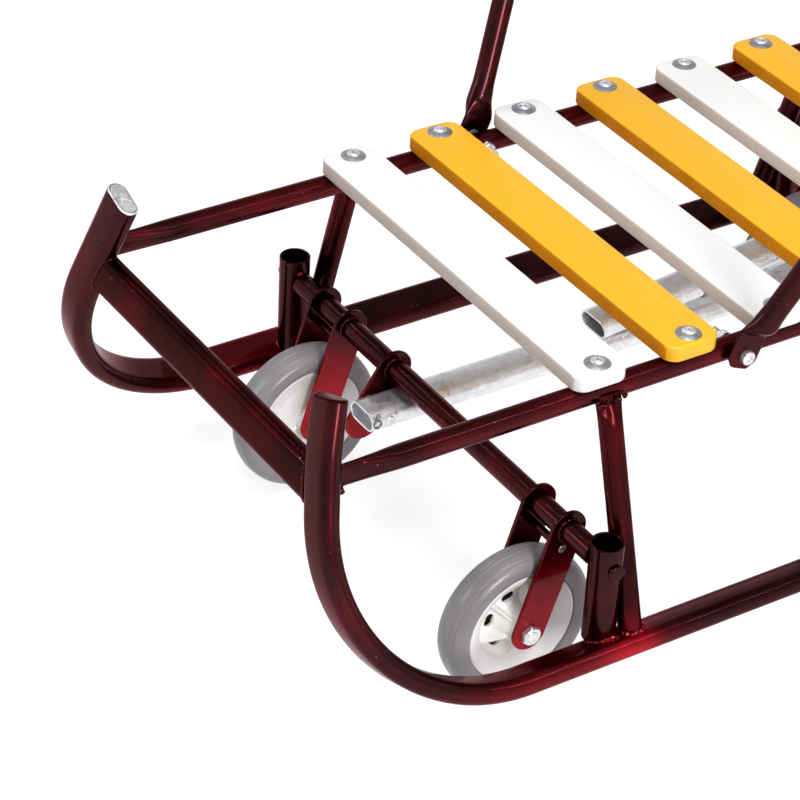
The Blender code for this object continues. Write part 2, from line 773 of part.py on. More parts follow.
# Link between the forks
def make_link_plate(end, parts, tools):
    """The short arm on a swing tube, with the pin that carries the link bar."""
    name = "link_plate_" + end
    along = (-sin(LINK_PLATE_LEAN), -cos(LINK_PLATE_LEAN))
    tip = (along[0] * LINK_PLATE_REACH, along[1] * LINK_PLATE_REACH)
    loops = [strap((0, 0), FORK_HEAD_RADIUS, tip, LINK_PLATE_END_RADIUS, PLATE_ARC)]
    loops.append(circle((0, 0), SWING_RADIUS + CONTACT_GAP, ROUND_SIDES))
    matrix = Matrix.Translation((LINK_PLATE_X, POST_Y[end], PIVOT_Z)) @ SIDE_VIEW
    plate = baked(place(name, flat_outline(name, loops, FORK_THICKNESS), parts, matrix))
    y = POST_Y[end] - LINK_PIN_FORWARD
    end_x = LINK_BAR_X + OVAL_WIDTH / 2 + LINK_PIN_STICKOUT
    start, stop = (LINK_PLATE_X, y, LINK_PIN_Z), (end_x, y, LINK_PIN_Z)
    pin = rod_tool(name + "_pin", start, stop, LINK_PIN_RADIUS, tools, FASTENER_SIDES)
    plate = baked(boolean(plate, pin, "UNION"), pin)
    plate.data.materials.append(sled_paint(name))


def oval_tube(name, start, end, parts):
    """A straight flat-oval tube that lies flat, between two points of the sled's long middle plane."""
    start, end = Vector(start), Vector(end)
    loops = [flat_oval(OVAL_WIDTH, OVAL_THICKNESS)]
    loops.append(flat_oval(OVAL_WIDTH - 2 * OVAL_WALL, OVAL_THICKNESS - 2 * OVAL_WALL))
    curve = flat_outline(name, loops, (end - start).length)
    rise = atan2(end.z - start.z, end.y - start.y)
    turn = Matrix.Rotation(rise + pi / 2, 4, "X")
    return baked(place(name, curve, parts, Matrix.Translation((start + end) / 2) @ turn))


def make_link_bar(parts, tools):
    """The level bar that makes both pairs of wheels fold together."""
    pins = {end: POST_Y[end] - LINK_PIN_FORWARD for end in ENDS}
    start = (LINK_BAR_X, pins["front"] - LINK_BAR_END, LINK_PIN_Z)
    stop = (LINK_BAR_X, pins["rear"] + LINK_BAR_END, LINK_PIN_Z)
    bar = oval_tube("link_bar", start, stop, parts)
    half = OVAL_WIDTH
    holes = []
    for end in ENDS:
        from_point = (LINK_BAR_X - half, pins[end], LINK_PIN_Z)
        to_point = (LINK_BAR_X + half, pins[end], LINK_PIN_Z)
        bore = LINK_PIN_RADIUS + RUNNING_GAP
        holes.append(rod_tool("hole", from_point, to_point, bore, tools, FASTENER_SIDES))
        boolean(bar, holes[-1])
    bar = baked(bar, *holes)
    smooth(bar.data)
    bar.data.materials.append(zinc("link_bar"))


def make_lift_lever(parts):
    """The lever on top of the link bar, which runs out behind the seat and folds the wheels away."""
    rise = OVAL_THICKNESS / 2 / cos(LEVER_RISE) + OVAL_THICKNESS / 2 + CONTACT_GAP
    front_z = LINK_PIN_Z + rise + OVAL_THICKNESS / 2 * sin(LEVER_RISE) * tan(LEVER_RISE)
    start = (LINK_BAR_X, LEVER_FRONT_Y, front_z)
    stop = (LINK_BAR_X, LEVER_REAR_Y, front_z + (LEVER_REAR_Y - LEVER_FRONT_Y) * tan(LEVER_RISE))
    lever = oval_tube("lift_lever", start, stop, parts)
    smooth(lever.data)
    lever.data.materials.append(zinc("lift_lever"))


# Seat
def slat_outline(length, width):
    """A rounded rectangle about its own middle."""
    x = length / 2 - SLAT_CORNER_RADIUS
    y = width / 2 - SLAT_CORNER_RADIUS
    corners = ((x, y, 0.0), (-x, y, pi / 2), (-x, -y, pi), (x, -y, 1.5 * pi))
    points = []
    for corner_x, corner_y, start in corners:
        points += arc((corner_x, corner_y), SLAT_CORNER_RADIUS, start, pi / 2, 4)
    return points


def board(name, length, width, parts, matrix, finish):
    """A plywood board with round corners and softened edges."""
    curve = flat_outline(name, [slat_outline(length, width)], SLAT_THICKNESS)
    plank = baked(place(name, curve, parts, matrix))
    bevel = plank.modifiers.new("round_over", "BEVEL")
    bevel.width = SLAT_ROUND_OVER
    bevel.segments = 1
    bevel.limit_method = "ANGLE"
    bevel.angle_limit = radians(60.0)
    smooth(plank.data, radians(50.0))
    plank.data.materials.append(finish(name))


def make_slats(parts):
    """The seat's slats, white and yellow in turn."""
    for index in range(SLAT_COUNT):
        center = (0, FIRST_SLAT_Y + index * SLAT_PITCH, SEAT_HEIGHT - SLAT_THICKNESS / 2)
        finish = white_lacquer if index % 2 == 0 else yellow_lacquer
        board("slat_%d" % (index + 1), SLAT_LENGTH, SLAT_WIDTH, parts, Matrix.Translation(center), finish)


# Push handle and backrest
def press_foot(mesh, pivot, direction):
    """Presses the ends of a tube flat beside the rails. Its girth stays about the same."""
    sideways = direction.cross(Vector((1, 0, 0))).normalized()
    for vertex in mesh.vertices:
        side = 1 if vertex.co.x > 0 else -1
        from_pivot = vertex.co - Vector((side * pivot.x, pivot.y, pivot.z))
        above_flat = (from_pivot.dot(direction) - FOOT_FLAT_ABOVE) / FOOT_TAPER
        if above_flat >= 1.0:
            continue
        above_flat = max(above_flat, 0.0)
        blend = 1.0 - above_flat * above_flat * (3 - 2 * above_flat)
        out = from_pivot.x - side * FOOT_SIDESTEP * above_flat
        squeezed = max(-FOOT_THICKNESS / 2, min(FOOT_THICKNESS / 2, out))
        vertex.co.x += blend * (squeezed - out)
        vertex.co += sideways * blend * from_pivot.dot(sideways) * (FOOT_WIDTH / 2 / TUBE_RADIUS - 1)


def bent_frame(name, upper_points, radii, pivot, lean, parts, tools):
    """A tube bent to a gate, mirrored about the sled's middle, with two pressed-flat feet."""
    direction = Vector((0, sin(lean), cos(lean)))
    crease = pivot + direction * FOOT_FLAT_ABOVE
    taper = direction * FOOT_TAPER + Vector((FOOT_SIDESTEP, 0, 0))
    steps = [crease + taper * step / TAPER_STEPS for step in range(TAPER_STEPS + 1)]
    upper = rounded_path([steps[-1], *upper_points, mirrored(upper_points[-1])], radii)
    half = [pivot - direction * FOOT_BELOW] + steps + upper[1:-1]
    path = half + [mirrored(point) for point in reversed(half)]
    surface = tube(name, path, TUBE_RADIUS, None, parts)
    press_foot(surface.data, pivot, direction)
    shell(surface, TUBE_WALL)
    bore = FOOT_BOLT_RADIUS + RUNNING_GAP
    hole = cross_hole(name + "_foot_hole", pivot.y, pivot.z, 2 * pivot.x, bore, tools)
    frame = baked(boolean(surface, hole), hole)
    smooth(frame.data)
    frame.data.materials.append(sled_paint(name))
    return frame


def mirrored(point):
    """The same point on the other side of the sled."""
    return Vector((-point.x, point.y, point.z))


def handle_pivot():
    """The middle of the handle's left foot, on its bolt."""
    return Vector((FOOT_X, HANDLE_Y, RAIL_Z))


def handle_top():
    """Where the handle's straight upper stretch meets its crosspiece."""
    bend_y = HANDLE_Y + (HANDLE_BEND_Z - RAIL_Z) * tan(HANDLE_LEAN)
    top_y = bend_y + (HANDLE_TOP_Z - HANDLE_BEND_Z) * tan(HANDLE_UPPER_LEAN)
    return Vector((HANDLE_SPLAY_X, bend_y, HANDLE_BEND_Z)), Vector((HANDLE_SPLAY_X, top_y, HANDLE_TOP_Z))


def make_push_handle(parts, tools):
    """The handle, which leans back and out from its feet beside the rails."""
    bend, top = handle_top()
    radii = [HANDLE_BEND_RADIUS, HANDLE_CORNER_RADIUS]
    bent_frame("push_handle", (bend, top), radii, handle_pivot(), HANDLE_LEAN, parts, tools)
    half = Vector((GRIP_LENGTH / 2, 0, 0))
    middle = Vector((0, top.y, top.z))
    wall = GRIP_RADIUS * cos(pi / ROUND_SIDES) - TUBE_RADIUS - CONTACT_GAP
    grip = tube("handle_grip", [middle + half, middle - half], GRIP_RADIUS, wall, parts)
    smooth(grip.data)
    grip.data.materials.append(black_foam(grip.name))


def backrest_pivot():
    """The middle of the backrest's left foot, on its bolt."""
    return Vector((FOOT_X, BACKREST_Y, RAIL_Z))


def make_backrest(parts, tools):
    """The backrest: a bent tube with a board across its front."""
    pivot = backrest_pivot()
    direction = Vector((0, sin(BACKREST_LEAN), cos(BACKREST_LEAN)))
    top = pivot + direction * BACKREST_HEIGHT + Vector((FOOT_SIDESTEP, 0, 0))
    bent_frame("backrest_frame", (top,), [BACKREST_CORNER_RADIUS], pivot, BACKREST_LEAN, parts, tools)
    middle = BOARD_FROM_PIVOT + BOARD_HEIGHT / 2
    forward = TUBE_RADIUS + CONTACT_GAP + SLAT_THICKNESS / 2
    place_at = Matrix.Translation((0, BACKREST_Y, RAIL_Z)) @ Matrix.Rotation(pi / 2 - BACKREST_LEAN, 4, "X")
    place_at = place_at @ Matrix.Translation((0, middle, forward))
    length = 2 * (top.x + TUBE_RADIUS + BOARD_OVERLAP)
    board("backrest_board", length, BOARD_HEIGHT, parts, place_at, yellow_lacquer)


def make_foot_bolt(name, side, pivot, parts, tools):
    """The bolt through a foot and its rail, with a thin washer between them and a nut inside."""
    outward = SIDES[side]
    outer = FOOT_X + FOOT_THICKNESS / 2 + CONTACT_GAP
    rail_outer = RAIL_X + TUBE_RADIUS + CONTACT_GAP
    rail_inner = RAIL_X - TUBE_RADIUS - CONTACT_GAP
    foot_inner = FOOT_X - FOOT_THICKNESS / 2 - CONTACT_GAP
    nut_inner = rail_inner - FOOT_NUT_HEIGHT

    def shape(label, from_x, to_x, radius, sides=FASTENER_SIDES):
        from_point = (outward * from_x, pivot.y, pivot.z)
        to_point = (outward * to_x, pivot.y, pivot.z)
        return rod_tool(label, from_point, to_point, radius, tools, sides)

    bolt = shape(name, nut_inner - FOOT_BOLT_STICKOUT, outer + HEAD_LAP, FOOT_BOLT_RADIUS)
    shapes = [
        shape("head", outer, outer + FOOT_BOLT_HEAD_HEIGHT, FOOT_BOLT_HEAD_RADIUS),
        shape("nut", nut_inner, rail_inner, FOOT_NUT_HEX / 2 / cos(pi / 6), 6),
    ]
    if foot_inner - rail_outer > CONTACT_GAP:
        shapes.append(shape("washer", rail_outer, foot_inner, FOOT_WASHER_RADIUS))
    for solid in shapes:
        boolean(bolt, solid, "UNION")
    finish_fastener(bolt, parts, *shapes)


# Keep-out shapes, which leave the contact gap where one tube is mitred onto another
def rail_keepout(side, tools):
    """The space of one rail with its contact gap."""
    x = SIDES[side] * RAIL_X
    radius = (TUBE_RADIUS + CONTACT_GAP) / cos(pi / ROUND_SIDES)
    return rod_tool("rail_keepout_" + side, (x, NOSE_Y, RAIL_Z), (x, LENGTH / 2, RAIL_Z), radius, tools)


def cross_hole(name, y, z, half, radius, tools):
    """A round hole right across the sled."""
    return rod_tool(name, (-half, y, z), (half, y, z), radius, tools, FASTENER_SIDES)


# Joint axes
def joint_axis(name, point, parts, pieces, above=None):
    """An empty on a joint's axis, which carries the pieces that turn about it."""
    axis = place(name + "_axis", None, parts, Matrix.Translation(point))
    bpy.context.view_layer.update()
    for piece in pieces:
        carry(bpy.data.objects[piece], axis)
    if above is not None:
        carry(axis, above)
    return axis


def carry(obj, axis):
    """Parents an object to a joint's axis without moving it."""
    obj.parent = axis
    obj.matrix_parent_inverse = axis.matrix_world.inverted()


def make_joint_axes(parts):
    """The axes of the wheel swings, the link, the wheels, the handle and the backrest."""
    swings = {}
    for end in ENDS:
        pieces = ["swing_tube_" + end, "link_plate_" + end]
        for side in SIDES:
            pieces += ["_".join((piece, end, side)) for piece in ("fork_outer", "fork_inner", "wheel_bolt")]
        pivot = Vector((0, POST_Y[end], PIVOT_Z))
        swings[end] = joint_axis(end + "_swing", pivot, parts, pieces)
        for side in SIDES:
            turning = ["_".join((piece, end, side)) for piece in ("hub", "tyre")]
            joint_axis("wheel_" + end + "_" + side, axle_point(end, side), parts, turning, swings[end])
    pin = Vector((0, POST_Y["front"] - LINK_PIN_FORWARD, LINK_PIN_Z))
    joint_axis("link", pin, parts, ["link_bar", "lift_lever"], swings["front"])
    handle = Vector((0, HANDLE_Y, RAIL_Z))
    joint_axis("handle", handle, parts, ["push_handle", "handle_grip"])
    backrest = Vector((0, BACKREST_Y, RAIL_Z))
    joint_axis("backrest", backrest, parts, ["backrest_frame", "backrest_board"])


def build():
    """Builds the whole sled."""
    clear_scene()
    parts = new_collection("stroller_sled")
    tools = new_collection("cutters")
    runner_space = {}
    rail_space = {}
    for side in SIDES:
        space = runner_sweep("runner_keepout_" + side, CONTACT_GAP, True, side, tools)
        runner_space[side] = hide_tool(space)
        rail_space[side] = rail_keepout(side, tools)
    half = POST_X + 2 * POST_RADIUS
    rod_bore = ROD_RADIUS + CONTACT_GAP
    rod_holes = {
        end: cross_hole("rod_hole_" + end, POST_Y[end], PIVOT_Z, half, rod_bore, tools)
        for end in ENDS
    }
    pivots = {"handle_bolt": handle_pivot(), "backrest_bolt": backrest_pivot()}
    foot_holes = [
        cross_hole(name + "_hole", pivot.y, pivot.z, half, FOOT_BOLT_RADIUS + CONTACT_GAP, tools)
        for name, pivot in pivots.items()
    ]
    hub = hub_mesh(tools)
    tyre = tyre_mesh(tools)
    for side in SIDES:
        make_runner(side, parts)
        make_tip_plug(side, parts, tools)
        make_rail(side, parts, runner_space[side], foot_holes)
        for name, pivot in pivots.items():
            make_foot_bolt(name + "_" + side, side, pivot, parts, tools)
    make_front_crossbar(parts, runner_space.values())
    make_rear_crossbar(parts, rail_space.values())
    make_slats(parts)
    for end in ENDS:
        make_rod(end, parts)
        make_swing_tube(end, parts)
        make_link_plate(end, parts, tools)
        for side in SIDES:
            make_leg(end, side, parts, runner_space[side], rail_space[side])
            make_post(end, side, parts, runner_space[side], rod_holes[end])
            make_fork_plates(end, side, parts, tools)
            make_wheel(end, side, parts, hub, tyre)
            make_wheel_bolt(end, side, parts, tools)
    make_link_bar(parts, tools)
    make_lift_lever(parts)
    make_push_handle(parts, tools)
    make_backrest(parts, tools)
    make_joint_axes(parts)


build()
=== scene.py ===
"""Looks of the stroller sled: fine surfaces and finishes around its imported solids.

Every new piece is a surface worked out with numpy: a section carried along a path, a turned profile or
an outline with a rounded edge. It stands for the plain solid of the same name and rides on its body.
Metres, +Z up. The sled faces -Y and its left side is +X.
"""

import logging
from collections.abc import Callable
from dataclasses import dataclass
from enum import Enum
from math import cos, pi, radians, sin, tan

import bmesh
import bpy
import numpy as np
from bpy.types import ID, Material, Mesh, Node, NodeSocket, NodeTree, Object
from mathutils import Matrix, Vector


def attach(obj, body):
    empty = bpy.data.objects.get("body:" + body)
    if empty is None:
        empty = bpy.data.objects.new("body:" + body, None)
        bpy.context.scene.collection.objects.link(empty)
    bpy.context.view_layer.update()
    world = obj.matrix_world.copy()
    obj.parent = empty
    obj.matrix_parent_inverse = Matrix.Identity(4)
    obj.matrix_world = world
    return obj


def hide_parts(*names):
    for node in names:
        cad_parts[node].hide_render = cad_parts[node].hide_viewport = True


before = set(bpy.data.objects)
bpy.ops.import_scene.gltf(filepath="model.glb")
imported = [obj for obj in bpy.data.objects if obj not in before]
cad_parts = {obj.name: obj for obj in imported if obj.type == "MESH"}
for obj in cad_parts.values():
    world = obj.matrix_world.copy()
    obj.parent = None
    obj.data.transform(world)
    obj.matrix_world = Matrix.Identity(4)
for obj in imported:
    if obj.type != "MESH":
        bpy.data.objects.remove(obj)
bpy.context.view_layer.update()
LOG = logging.getLogger("stroller_sled")

SIDES = {"left": 1.0, "right": -1.0}
ENDS = ("front", "rear")
UP = np.array((0.0, 0.0, 1.0))
ALONG = np.array((0.0, 1.0, 0.0))
ACROSS = np.array((1.0, 0.0, 0.0))

Array = np.ndarray
Point = tuple[float, float, float]
Color = Point
AtInset = Callable[[float], Array]  # an outline at an inset from its full size
OfPoints = Callable[[Array], Array]  # a number for each of some points
Profile = tuple[tuple[float, float], ...]  # radii and heights of a turned shape


@dataclass(frozen=True)
class SledSizes:
    """The sled's driving sizes, as its solids have them."""

    length: float = 0.840
    seat_height: float = 0.2595
    gap: float = 0.0003
    side_tilt: float = radians(19.7)
    tube_radius: float = 0.008
    tube_wall: float = 0.0015
    rail_x: float = 0.152
    rail_rear_y: float = 0.3735
    slat_thickness: float = 0.012
    slat_length: float = 0.3235
    oval_width: float = 0.030
    oval_thickness: float = 0.015
    oval_wall: float = 0.0015
    runner_x: float = 0.2087
    runner_clearance: float = 0.0609
    nose_radius: float = 0.130
    nose_sweep: float = radians(101.0)
    tip_length: float = 0.077
    front_pivot_y: float = -0.2165
    rear_pivot_y: float = 0.250
    pivot_z: float = 0.1357
    front_leg_y: float = -0.196
    rear_leg_y: float = 0.2295
    wheel_x: float = 0.1385
    wheel_radius: float = 0.0575
    fork_lean: float = radians(18.0)
    fork_thickness: float = 0.003
    fork_half_span: float = 0.0175
    swing_radius: float = 0.00835

    @property
    def rail_z(self) -> float:
        """Height of the rails' middle."""
        return self.seat_height - self.slat_thickness - self.gap - self.tube_radius

    @property
    def runner_z(self) -> float:
        """Height of the straight runner's middle."""
        return self.runner_clearance + self.oval_thickness / 2 + self.oval_half_flat * sin(self.side_tilt)

    @property
    def oval_half_flat(self) -> float:
        """Half the straight side of the flat-oval tube's section."""
        return (self.oval_width - self.oval_thickness) / 2

    def pivot_y(self, end: str) -> float:
        """Place along the sled of one wheel pivot."""
        return self.front_pivot_y if end == "front" else self.rear_pivot_y

    def leg_y(self, end: str) -> float:
        """Place along the sled of one pair of legs."""
        return self.front_leg_y if end == "front" else self.rear_leg_y

    def axle(self, end: str, side: str) -> Array:
        """Middle of one wheel."""
        forward = (self.pivot_z - self.wheel_radius) * tan(self.fork_lean)
        return np.array((SIDES[side] * self.wheel_x, self.pivot_y(end) - forward, self.wheel_radius))


SIZES = SledSizes()


class Slot(Enum):
    """The record's material slots."""

    PAINT = "garnet_paint"
    ZINC = "zinc_steel"
    WHITE = "white_lacquer"
    YELLOW = "yellow_lacquer"
    RUBBER = "grey_rubber"
    PLASTIC = "white_plastic"
    FOAM = "black_foam"


# Surfaces from arrays
@dataclass
class Surface:
    """A grid of points with its quads, the material slot of its faces and its share of bright paint, partly
    from thinner paint and partly painted sheen.
    """

    points: Array
    faces: Array
    slot: int | Array = 0
    thin_and_sheen: float | Array = 0.0


def unit(vectors: Array) -> Array:
    """Vectors scaled to length one along their last axis."""
    return vectors / np.linalg.norm(vectors, axis=-1, keepdims=True)


def smoothstep(low: float, high: float, value: Array) -> Array:
    """Rises from 0 at low to 1 at high as 3 t squared less 2 t cubed."""
    t = np.clip((value - low) / (high - low), 0.0, 1.0)
    return t * t * (3 - 2 * t)


def grid(points: Array, loop_rows: bool = False, loop_columns: bool = True, slot: int = 0) -> Surface:
    """Joins a grid of points with quads.

    Args:
        points: array of rows by columns by 3.
        loop_rows: whether the last row joins the first.
        loop_columns: whether the last column joins the first.
        slot: material slot of the faces.

    Returns:
        The surface, its faces listed row by row.
    """
    rows, columns = points.shape[:2]
    i = np.arange(rows if loop_rows else rows - 1)[:, None]
    j = np.arange(columns if loop_columns else columns - 1)[None, :]
    next_i = (i + 1) % rows
    next_j = (j + 1) % columns
    corners = (i * columns + j, i * columns + next_j, next_i * columns + next_j, next_i * columns + j)
    faces = np.stack(np.broadcast_arrays(*corners), axis=-1).reshape(-1, 4)
    return Surface(points.reshape(-1, 3), faces, slot)


def capped(rings: Array, slot: int = 0) -> Surface:
    """Closes a run of rings at both ends by shrinking an extra ring to each end's middle."""
    first, last = (np.broadcast_to(ring.mean(axis=0), ring.shape)[None] for ring in (rings[0], rings[-1]))
    return grid(np.concatenate((first, rings, last)), slot=slot)


def hollow(outer: Array, inner: Array, slot: int = 0) -> Surface:
    """A wall between two runs of rings: out along the outer one and back along the inner one."""
    return grid(np.concatenate((outer, inner[::-1])), loop_rows=True, slot=slot)


def frames_of(path: Array, reference: Array) -> tuple[Array, Array]:
    """Two unit vectors square to a path at each of its points.

    Args:
        path: array of points by 3.
        reference: a direction that the path never follows.

    Returns:
        The reference with its part along the path taken off, and the cross product that completes the frame.
    """
    tangent = unit(np.gradient(path, axis=0))
    right = unit(reference - (tangent @ reference)[:, None] * tangent)
    return right, np.cross(tangent, right)


def sweep(path: Array, right: Array, up: Array, section: Array) -> Array:
    """Rings of a section carried along a path: path + section x times right + section y times up."""
    rings = section if section.ndim == 3 else section[None]
    return path[:, None] + rings[..., :1] * right[:, None] + rings[..., 1:] * up[:, None]


def polar(angle: Array) -> Array:
    """Points of the unit circle: cosine and sine of the angles."""
    return np.stack((np.cos(angle), np.sin(angle)), axis=-1)


def raised(flat: Array, height: float) -> Array:
    """Flat points with their height as a third coordinate."""
    return np.column_stack((flat, np.full(len(flat), height)))


def circle(radius: float, count: int) -> Array:
    """A circle's points: radius times cosine and sine of an even angle."""
    return radius * polar(np.linspace(0.0, 2 * pi, count, endpoint=False))


def oval(width: float, thickness: float, count: int = 12) -> Array:
    """A flat oval with its long axis along x: two half circles, of which the straights come by themselves.

    Args:
        width: its whole width.
        thickness: its thickness, which is the half circles' diameter.
        count: points on each half circle.

    Returns:
        The points, by 2.
    """
    end = thickness / 2 * polar(np.linspace(-pi / 2, pi / 2, count))
    shift = np.array(((width - thickness) / 2, 0.0))
    return np.concatenate((end + shift, -end - shift))


def segment(start: Array, end: Array, count: int) -> Array:
    """Even points from one point to another."""
    t = np.linspace(0.0, 1.0, count)[:, None]
    return (1 - t) * np.asarray(start, float) + t * np.asarray(end, float)


def bent_path(corners: list[Array], radii: list[float], arc_steps: int = 14, steps: int = 16) -> Array:
    """A path through corners, each inner one rounded by an arc that touches both its legs.

    Args:
        corners: the path's corners.
        radii: one radius for each inner corner.
        arc_steps: points along each arc.
        steps: points along each straight.

    Returns:
        The path's points.
    """
    runs = []
    start = np.asarray(corners[0], float)
    for corner, after, radius in zip(corners[1:], corners[2:], radii):
        incoming = unit(start - corner)
        outgoing = unit(after - corner)
        half = np.arccos(np.clip(incoming @ outgoing, -1.0, 1.0)) / 2
        middle = corner + unit(incoming + outgoing) * radius / np.sin(half)
        first = corner + incoming * radius / np.tan(half) - middle
        last = corner + outgoing * radius / np.tan(half) - middle
        whole = pi - 2 * half
        turn = np.linspace(0.0, 1.0, arc_steps)[:, None] * whole
        arc = middle + (np.sin(whole - turn) * first + np.sin(turn) * last) / np.sin(whole)
        runs += [segment(start, arc[0], steps)[:-1], arc[:-1]]
        start = arc[-1]
    runs.append(segment(start, np.asarray(corners[-1], float), steps))
    return np.concatenate(runs)


def turned(profile: Array, center: Array, axis: Array, steps: int, closed: bool = False,
           slot: int = 0) -> Surface:
    """Turns a profile about an axis.

    Args:
        profile: array of (radius, height along the axis).
        center: where height zero lies.
        axis: unit vector of the axis.
        steps: columns round the axis.
        closed: whether the profile's last point joins its first, as on a ring.
        slot: material slot.

    Returns:
        The turned surface.
    """
    side = unit(np.cross(axis, UP if abs(axis[2]) < 0.9 else ALONG))
    other = np.cross(axis, side)
    spoke = ring_path(np.zeros(3), side, other, steps)
    points = center + profile[:, None, :1] * spoke[None] + profile[:, None, 1:] * axis
    return grid(points, loop_rows=closed, slot=slot)


def placed(points: Array, origin: Array, x: Array, y: Array, z: Array) -> Array:
    """Points of a piece's own axes put into the sled: origin + px x + py y + pz z."""
    return origin + points[..., :1] * x + points[..., 1:2] * y + points[..., 2:] * z


def bead(path: Array, radius: float, lumps: int, seed: float, closed: bool = True) -> Surface:
    """A weld bead: a lumpy rope along a line.

    Its radius is the given one times one plus a share of sin(lumps t) and a share of sin(3 t), with t once
    round or from end to end; an open bead also fades to nothing at its ends, as the root of a sine does.

    Args:
        path: the line, as points by 3.
        radius: the bead's mean radius.
        lumps: how many ripples lie along the line.
        seed: phase of the ripples.
        closed: whether the line is a loop.

    Returns:
        The bead's surface, in material slot 1.
    """
    if closed:
        tangent = unit(np.roll(path, -1, axis=0) - np.roll(path, 1, axis=0))
    else:
        tangent = unit(np.gradient(path, axis=0))
    outward = path - path.mean(axis=0)
    outward = unit(outward - (outward * tangent).sum(axis=1, keepdims=True) * tangent)
    other = np.cross(tangent, outward)
    ripple, sway, lag, thinnest = 0.22, 0.14, 0.8, 0.0004
    along = np.linspace(0.0, 2 * pi, len(path), endpoint=not closed)[:, None]
    ring = circle(1.0, 12)
    lean = lag * np.sin(np.arctan2(ring[:, 1], ring[:, 0])[None])
    swell = 1 + ripple * np.sin(lumps * along + seed + lean) + sway * np.sin(3 * along + 2 * seed)
    fade = 1.0 if closed else np.sqrt(np.clip(np.sin(along / 2), thinnest, 1.0))
    size = (radius * swell * fade)[..., None]
    rings = path[:, None] + size * (ring[None, :, :1] * outward[:, None] + ring[None, :, 1:] * other[:, None])
    return grid(rings, loop_rows=True, slot=1) if closed else capped(rings, slot=1)


def ring_path(center: Array, u: Array, v: Array, count: int = 72) -> Array:
    """An ellipse round a centre, with half axes u and v."""
    turn = circle(1.0, count)
    return center + turn[:, :1] * u + turn[:, 1:] * v


# Pieces
@dataclass(frozen=True)
class Seat:
    """Where a finished piece belongs: its body, its record slot and the solids that it stands for."""

    body: str
    slot: Slot
    nodes: tuple[str, ...] = ()


def joined(surfaces: list[Surface]) -> tuple[Array, Array]:
    """The points and the quads of several surfaces, numbered as one mesh.

    Args:
        surfaces: the surfaces.

    Returns:
        The points and the quads.
    """
    offsets = np.cumsum([0] + [len(s.points) for s in surfaces[:-1]])
    faces = [s.faces + offset for s, offset in zip(surfaces, offsets)]
    return np.concatenate([s.points for s in surfaces]), np.concatenate(faces)


def add_object(name: str, data: ID) -> Object:
    """Puts a new object into the scene, at the origin.

    Args:
        name: its name.
        data: its mesh, light or camera.

    Returns:
        The object.
    """
    obj = bpy.data.objects.new(name, data)
    bpy.context.scene.collection.objects.link(obj)
    return obj


def soften(mesh: Mesh, sharp: float) -> None:
    """Shades a mesh smooth, apart from edges bent more than sharp degrees."""
    mesh.shade_smooth()
    mesh.set_sharp_from_angle(angle=radians(sharp))


def make_piece(name: str, surfaces: list[Surface], materials: list[Material], seat: Seat,
               sharp: float = 38.0) -> Object:
    """Joins surfaces into one mesh object and seats it on its body.

    Args:
        name: the piece's name.
        surfaces: its surfaces, whose poles and seams are welded here.
        materials: one material for each slot that the surfaces use.
        seat: body, record slot and replaced solids.
        sharp: edges bent more than this many degrees stay sharp.

    Returns:
        The object, at the origin.
    """
    points, faces = joined(surfaces)
    slots = np.concatenate([np.broadcast_to(s.slot, len(s.faces)) for s in surfaces]).astype(np.int32)
    mesh = bpy.data.meshes.new(name)
    mesh.vertices.add(len(points))
    mesh.vertices.foreach_set("co", points.astype(np.float32).ravel())
    mesh.loops.add(faces.size)
    mesh.loops.foreach_set("vertex_index", faces.astype(np.int32).ravel())
    mesh.polygons.add(len(faces))
    mesh.polygons.foreach_set("loop_start", np.arange(0, faces.size, 4, dtype=np.int32))
    mesh.polygons.foreach_set("material_index", slots)
    mesh.update(calc_edges=True)
    thin_and_sheen = np.concatenate([np.broadcast_to(s.thin_and_sheen, len(s.points)) for s in surfaces]).astype(np.float32)
    # Share of bright red in the paint: partly thinner paint, partly painted sheen.
    mesh.attributes.new("thin_paint_and_sheen", "FLOAT", "POINT").data.foreach_set("value", thin_and_sheen)
    weld(mesh)
    soften(mesh, sharp)
    for material in materials:
        mesh.materials.append(material)
    obj = add_object(name, mesh)
    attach(obj, seat.body)
    if seat.nodes:
        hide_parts(*seat.nodes)
    LOG.info("%s: %d faces on %s", name, len(mesh.polygons), seat.body)
    return obj


def dress(node: str, kind: str, surfaces: list[Surface], materials: list[Material], body: str,
          slot: Slot, sharp: float = 38.0) -> Object:
    """Makes the piece that stands for one solid, named after the solid and its own kind."""
    return make_piece(f"{node}_{kind}", surfaces, materials, Seat(body, slot, (node,)), sharp)


def weld(mesh: Mesh, distance: float = 0.000002) -> None:
    """Merges a mesh's doubles, which closes poles and seams, and turns its faces outwards.

    Args:
        mesh: the mesh, changed in place.
        distance: points nearer than this become one.
    """
    shape = bmesh.new()
    shape.from_mesh(mesh)
    bmesh.ops.remove_doubles(shape, verts=shape.verts, dist=distance)
    bmesh.ops.dissolve_degenerate(shape, edges=shape.edges, dist=distance / 4)
    bmesh.ops.recalc_face_normals(shape, faces=shape.faces)
    shape.to_mesh(mesh)
    shape.free()


def carve(obj: Object, cutters: list[Surface], sharp: float = 38.0) -> None:
    """Cuts shapes out of a finished piece.

    Args:
        obj: the piece, whose mesh is swapped for the cut one.
        cutters: closed surfaces.
        sharp: edges bent more than this many degrees stay sharp.
    """
    points, faces = joined(cutters)
    mesh = bpy.data.meshes.new("cutter")
    mesh.from_pydata(points.tolist(), [], faces.tolist())
    weld(mesh)
    tool = add_object("cutter", mesh)
    cut = obj.modifiers.new("cut", "BOOLEAN")
    cut.operation = "DIFFERENCE"
    cut.solver = "EXACT"
    cut.object = tool
    bpy.context.view_layer.update()
    depsgraph = bpy.context.evaluated_depsgraph_get()
    result = bpy.data.meshes.new_from_object(obj.evaluated_get(depsgraph), depsgraph=depsgraph)
    obj.modifiers.remove(cut)
    obj.data = result
    bpy.data.objects.remove(tool, do_unlink=True)
    soften(result, sharp)


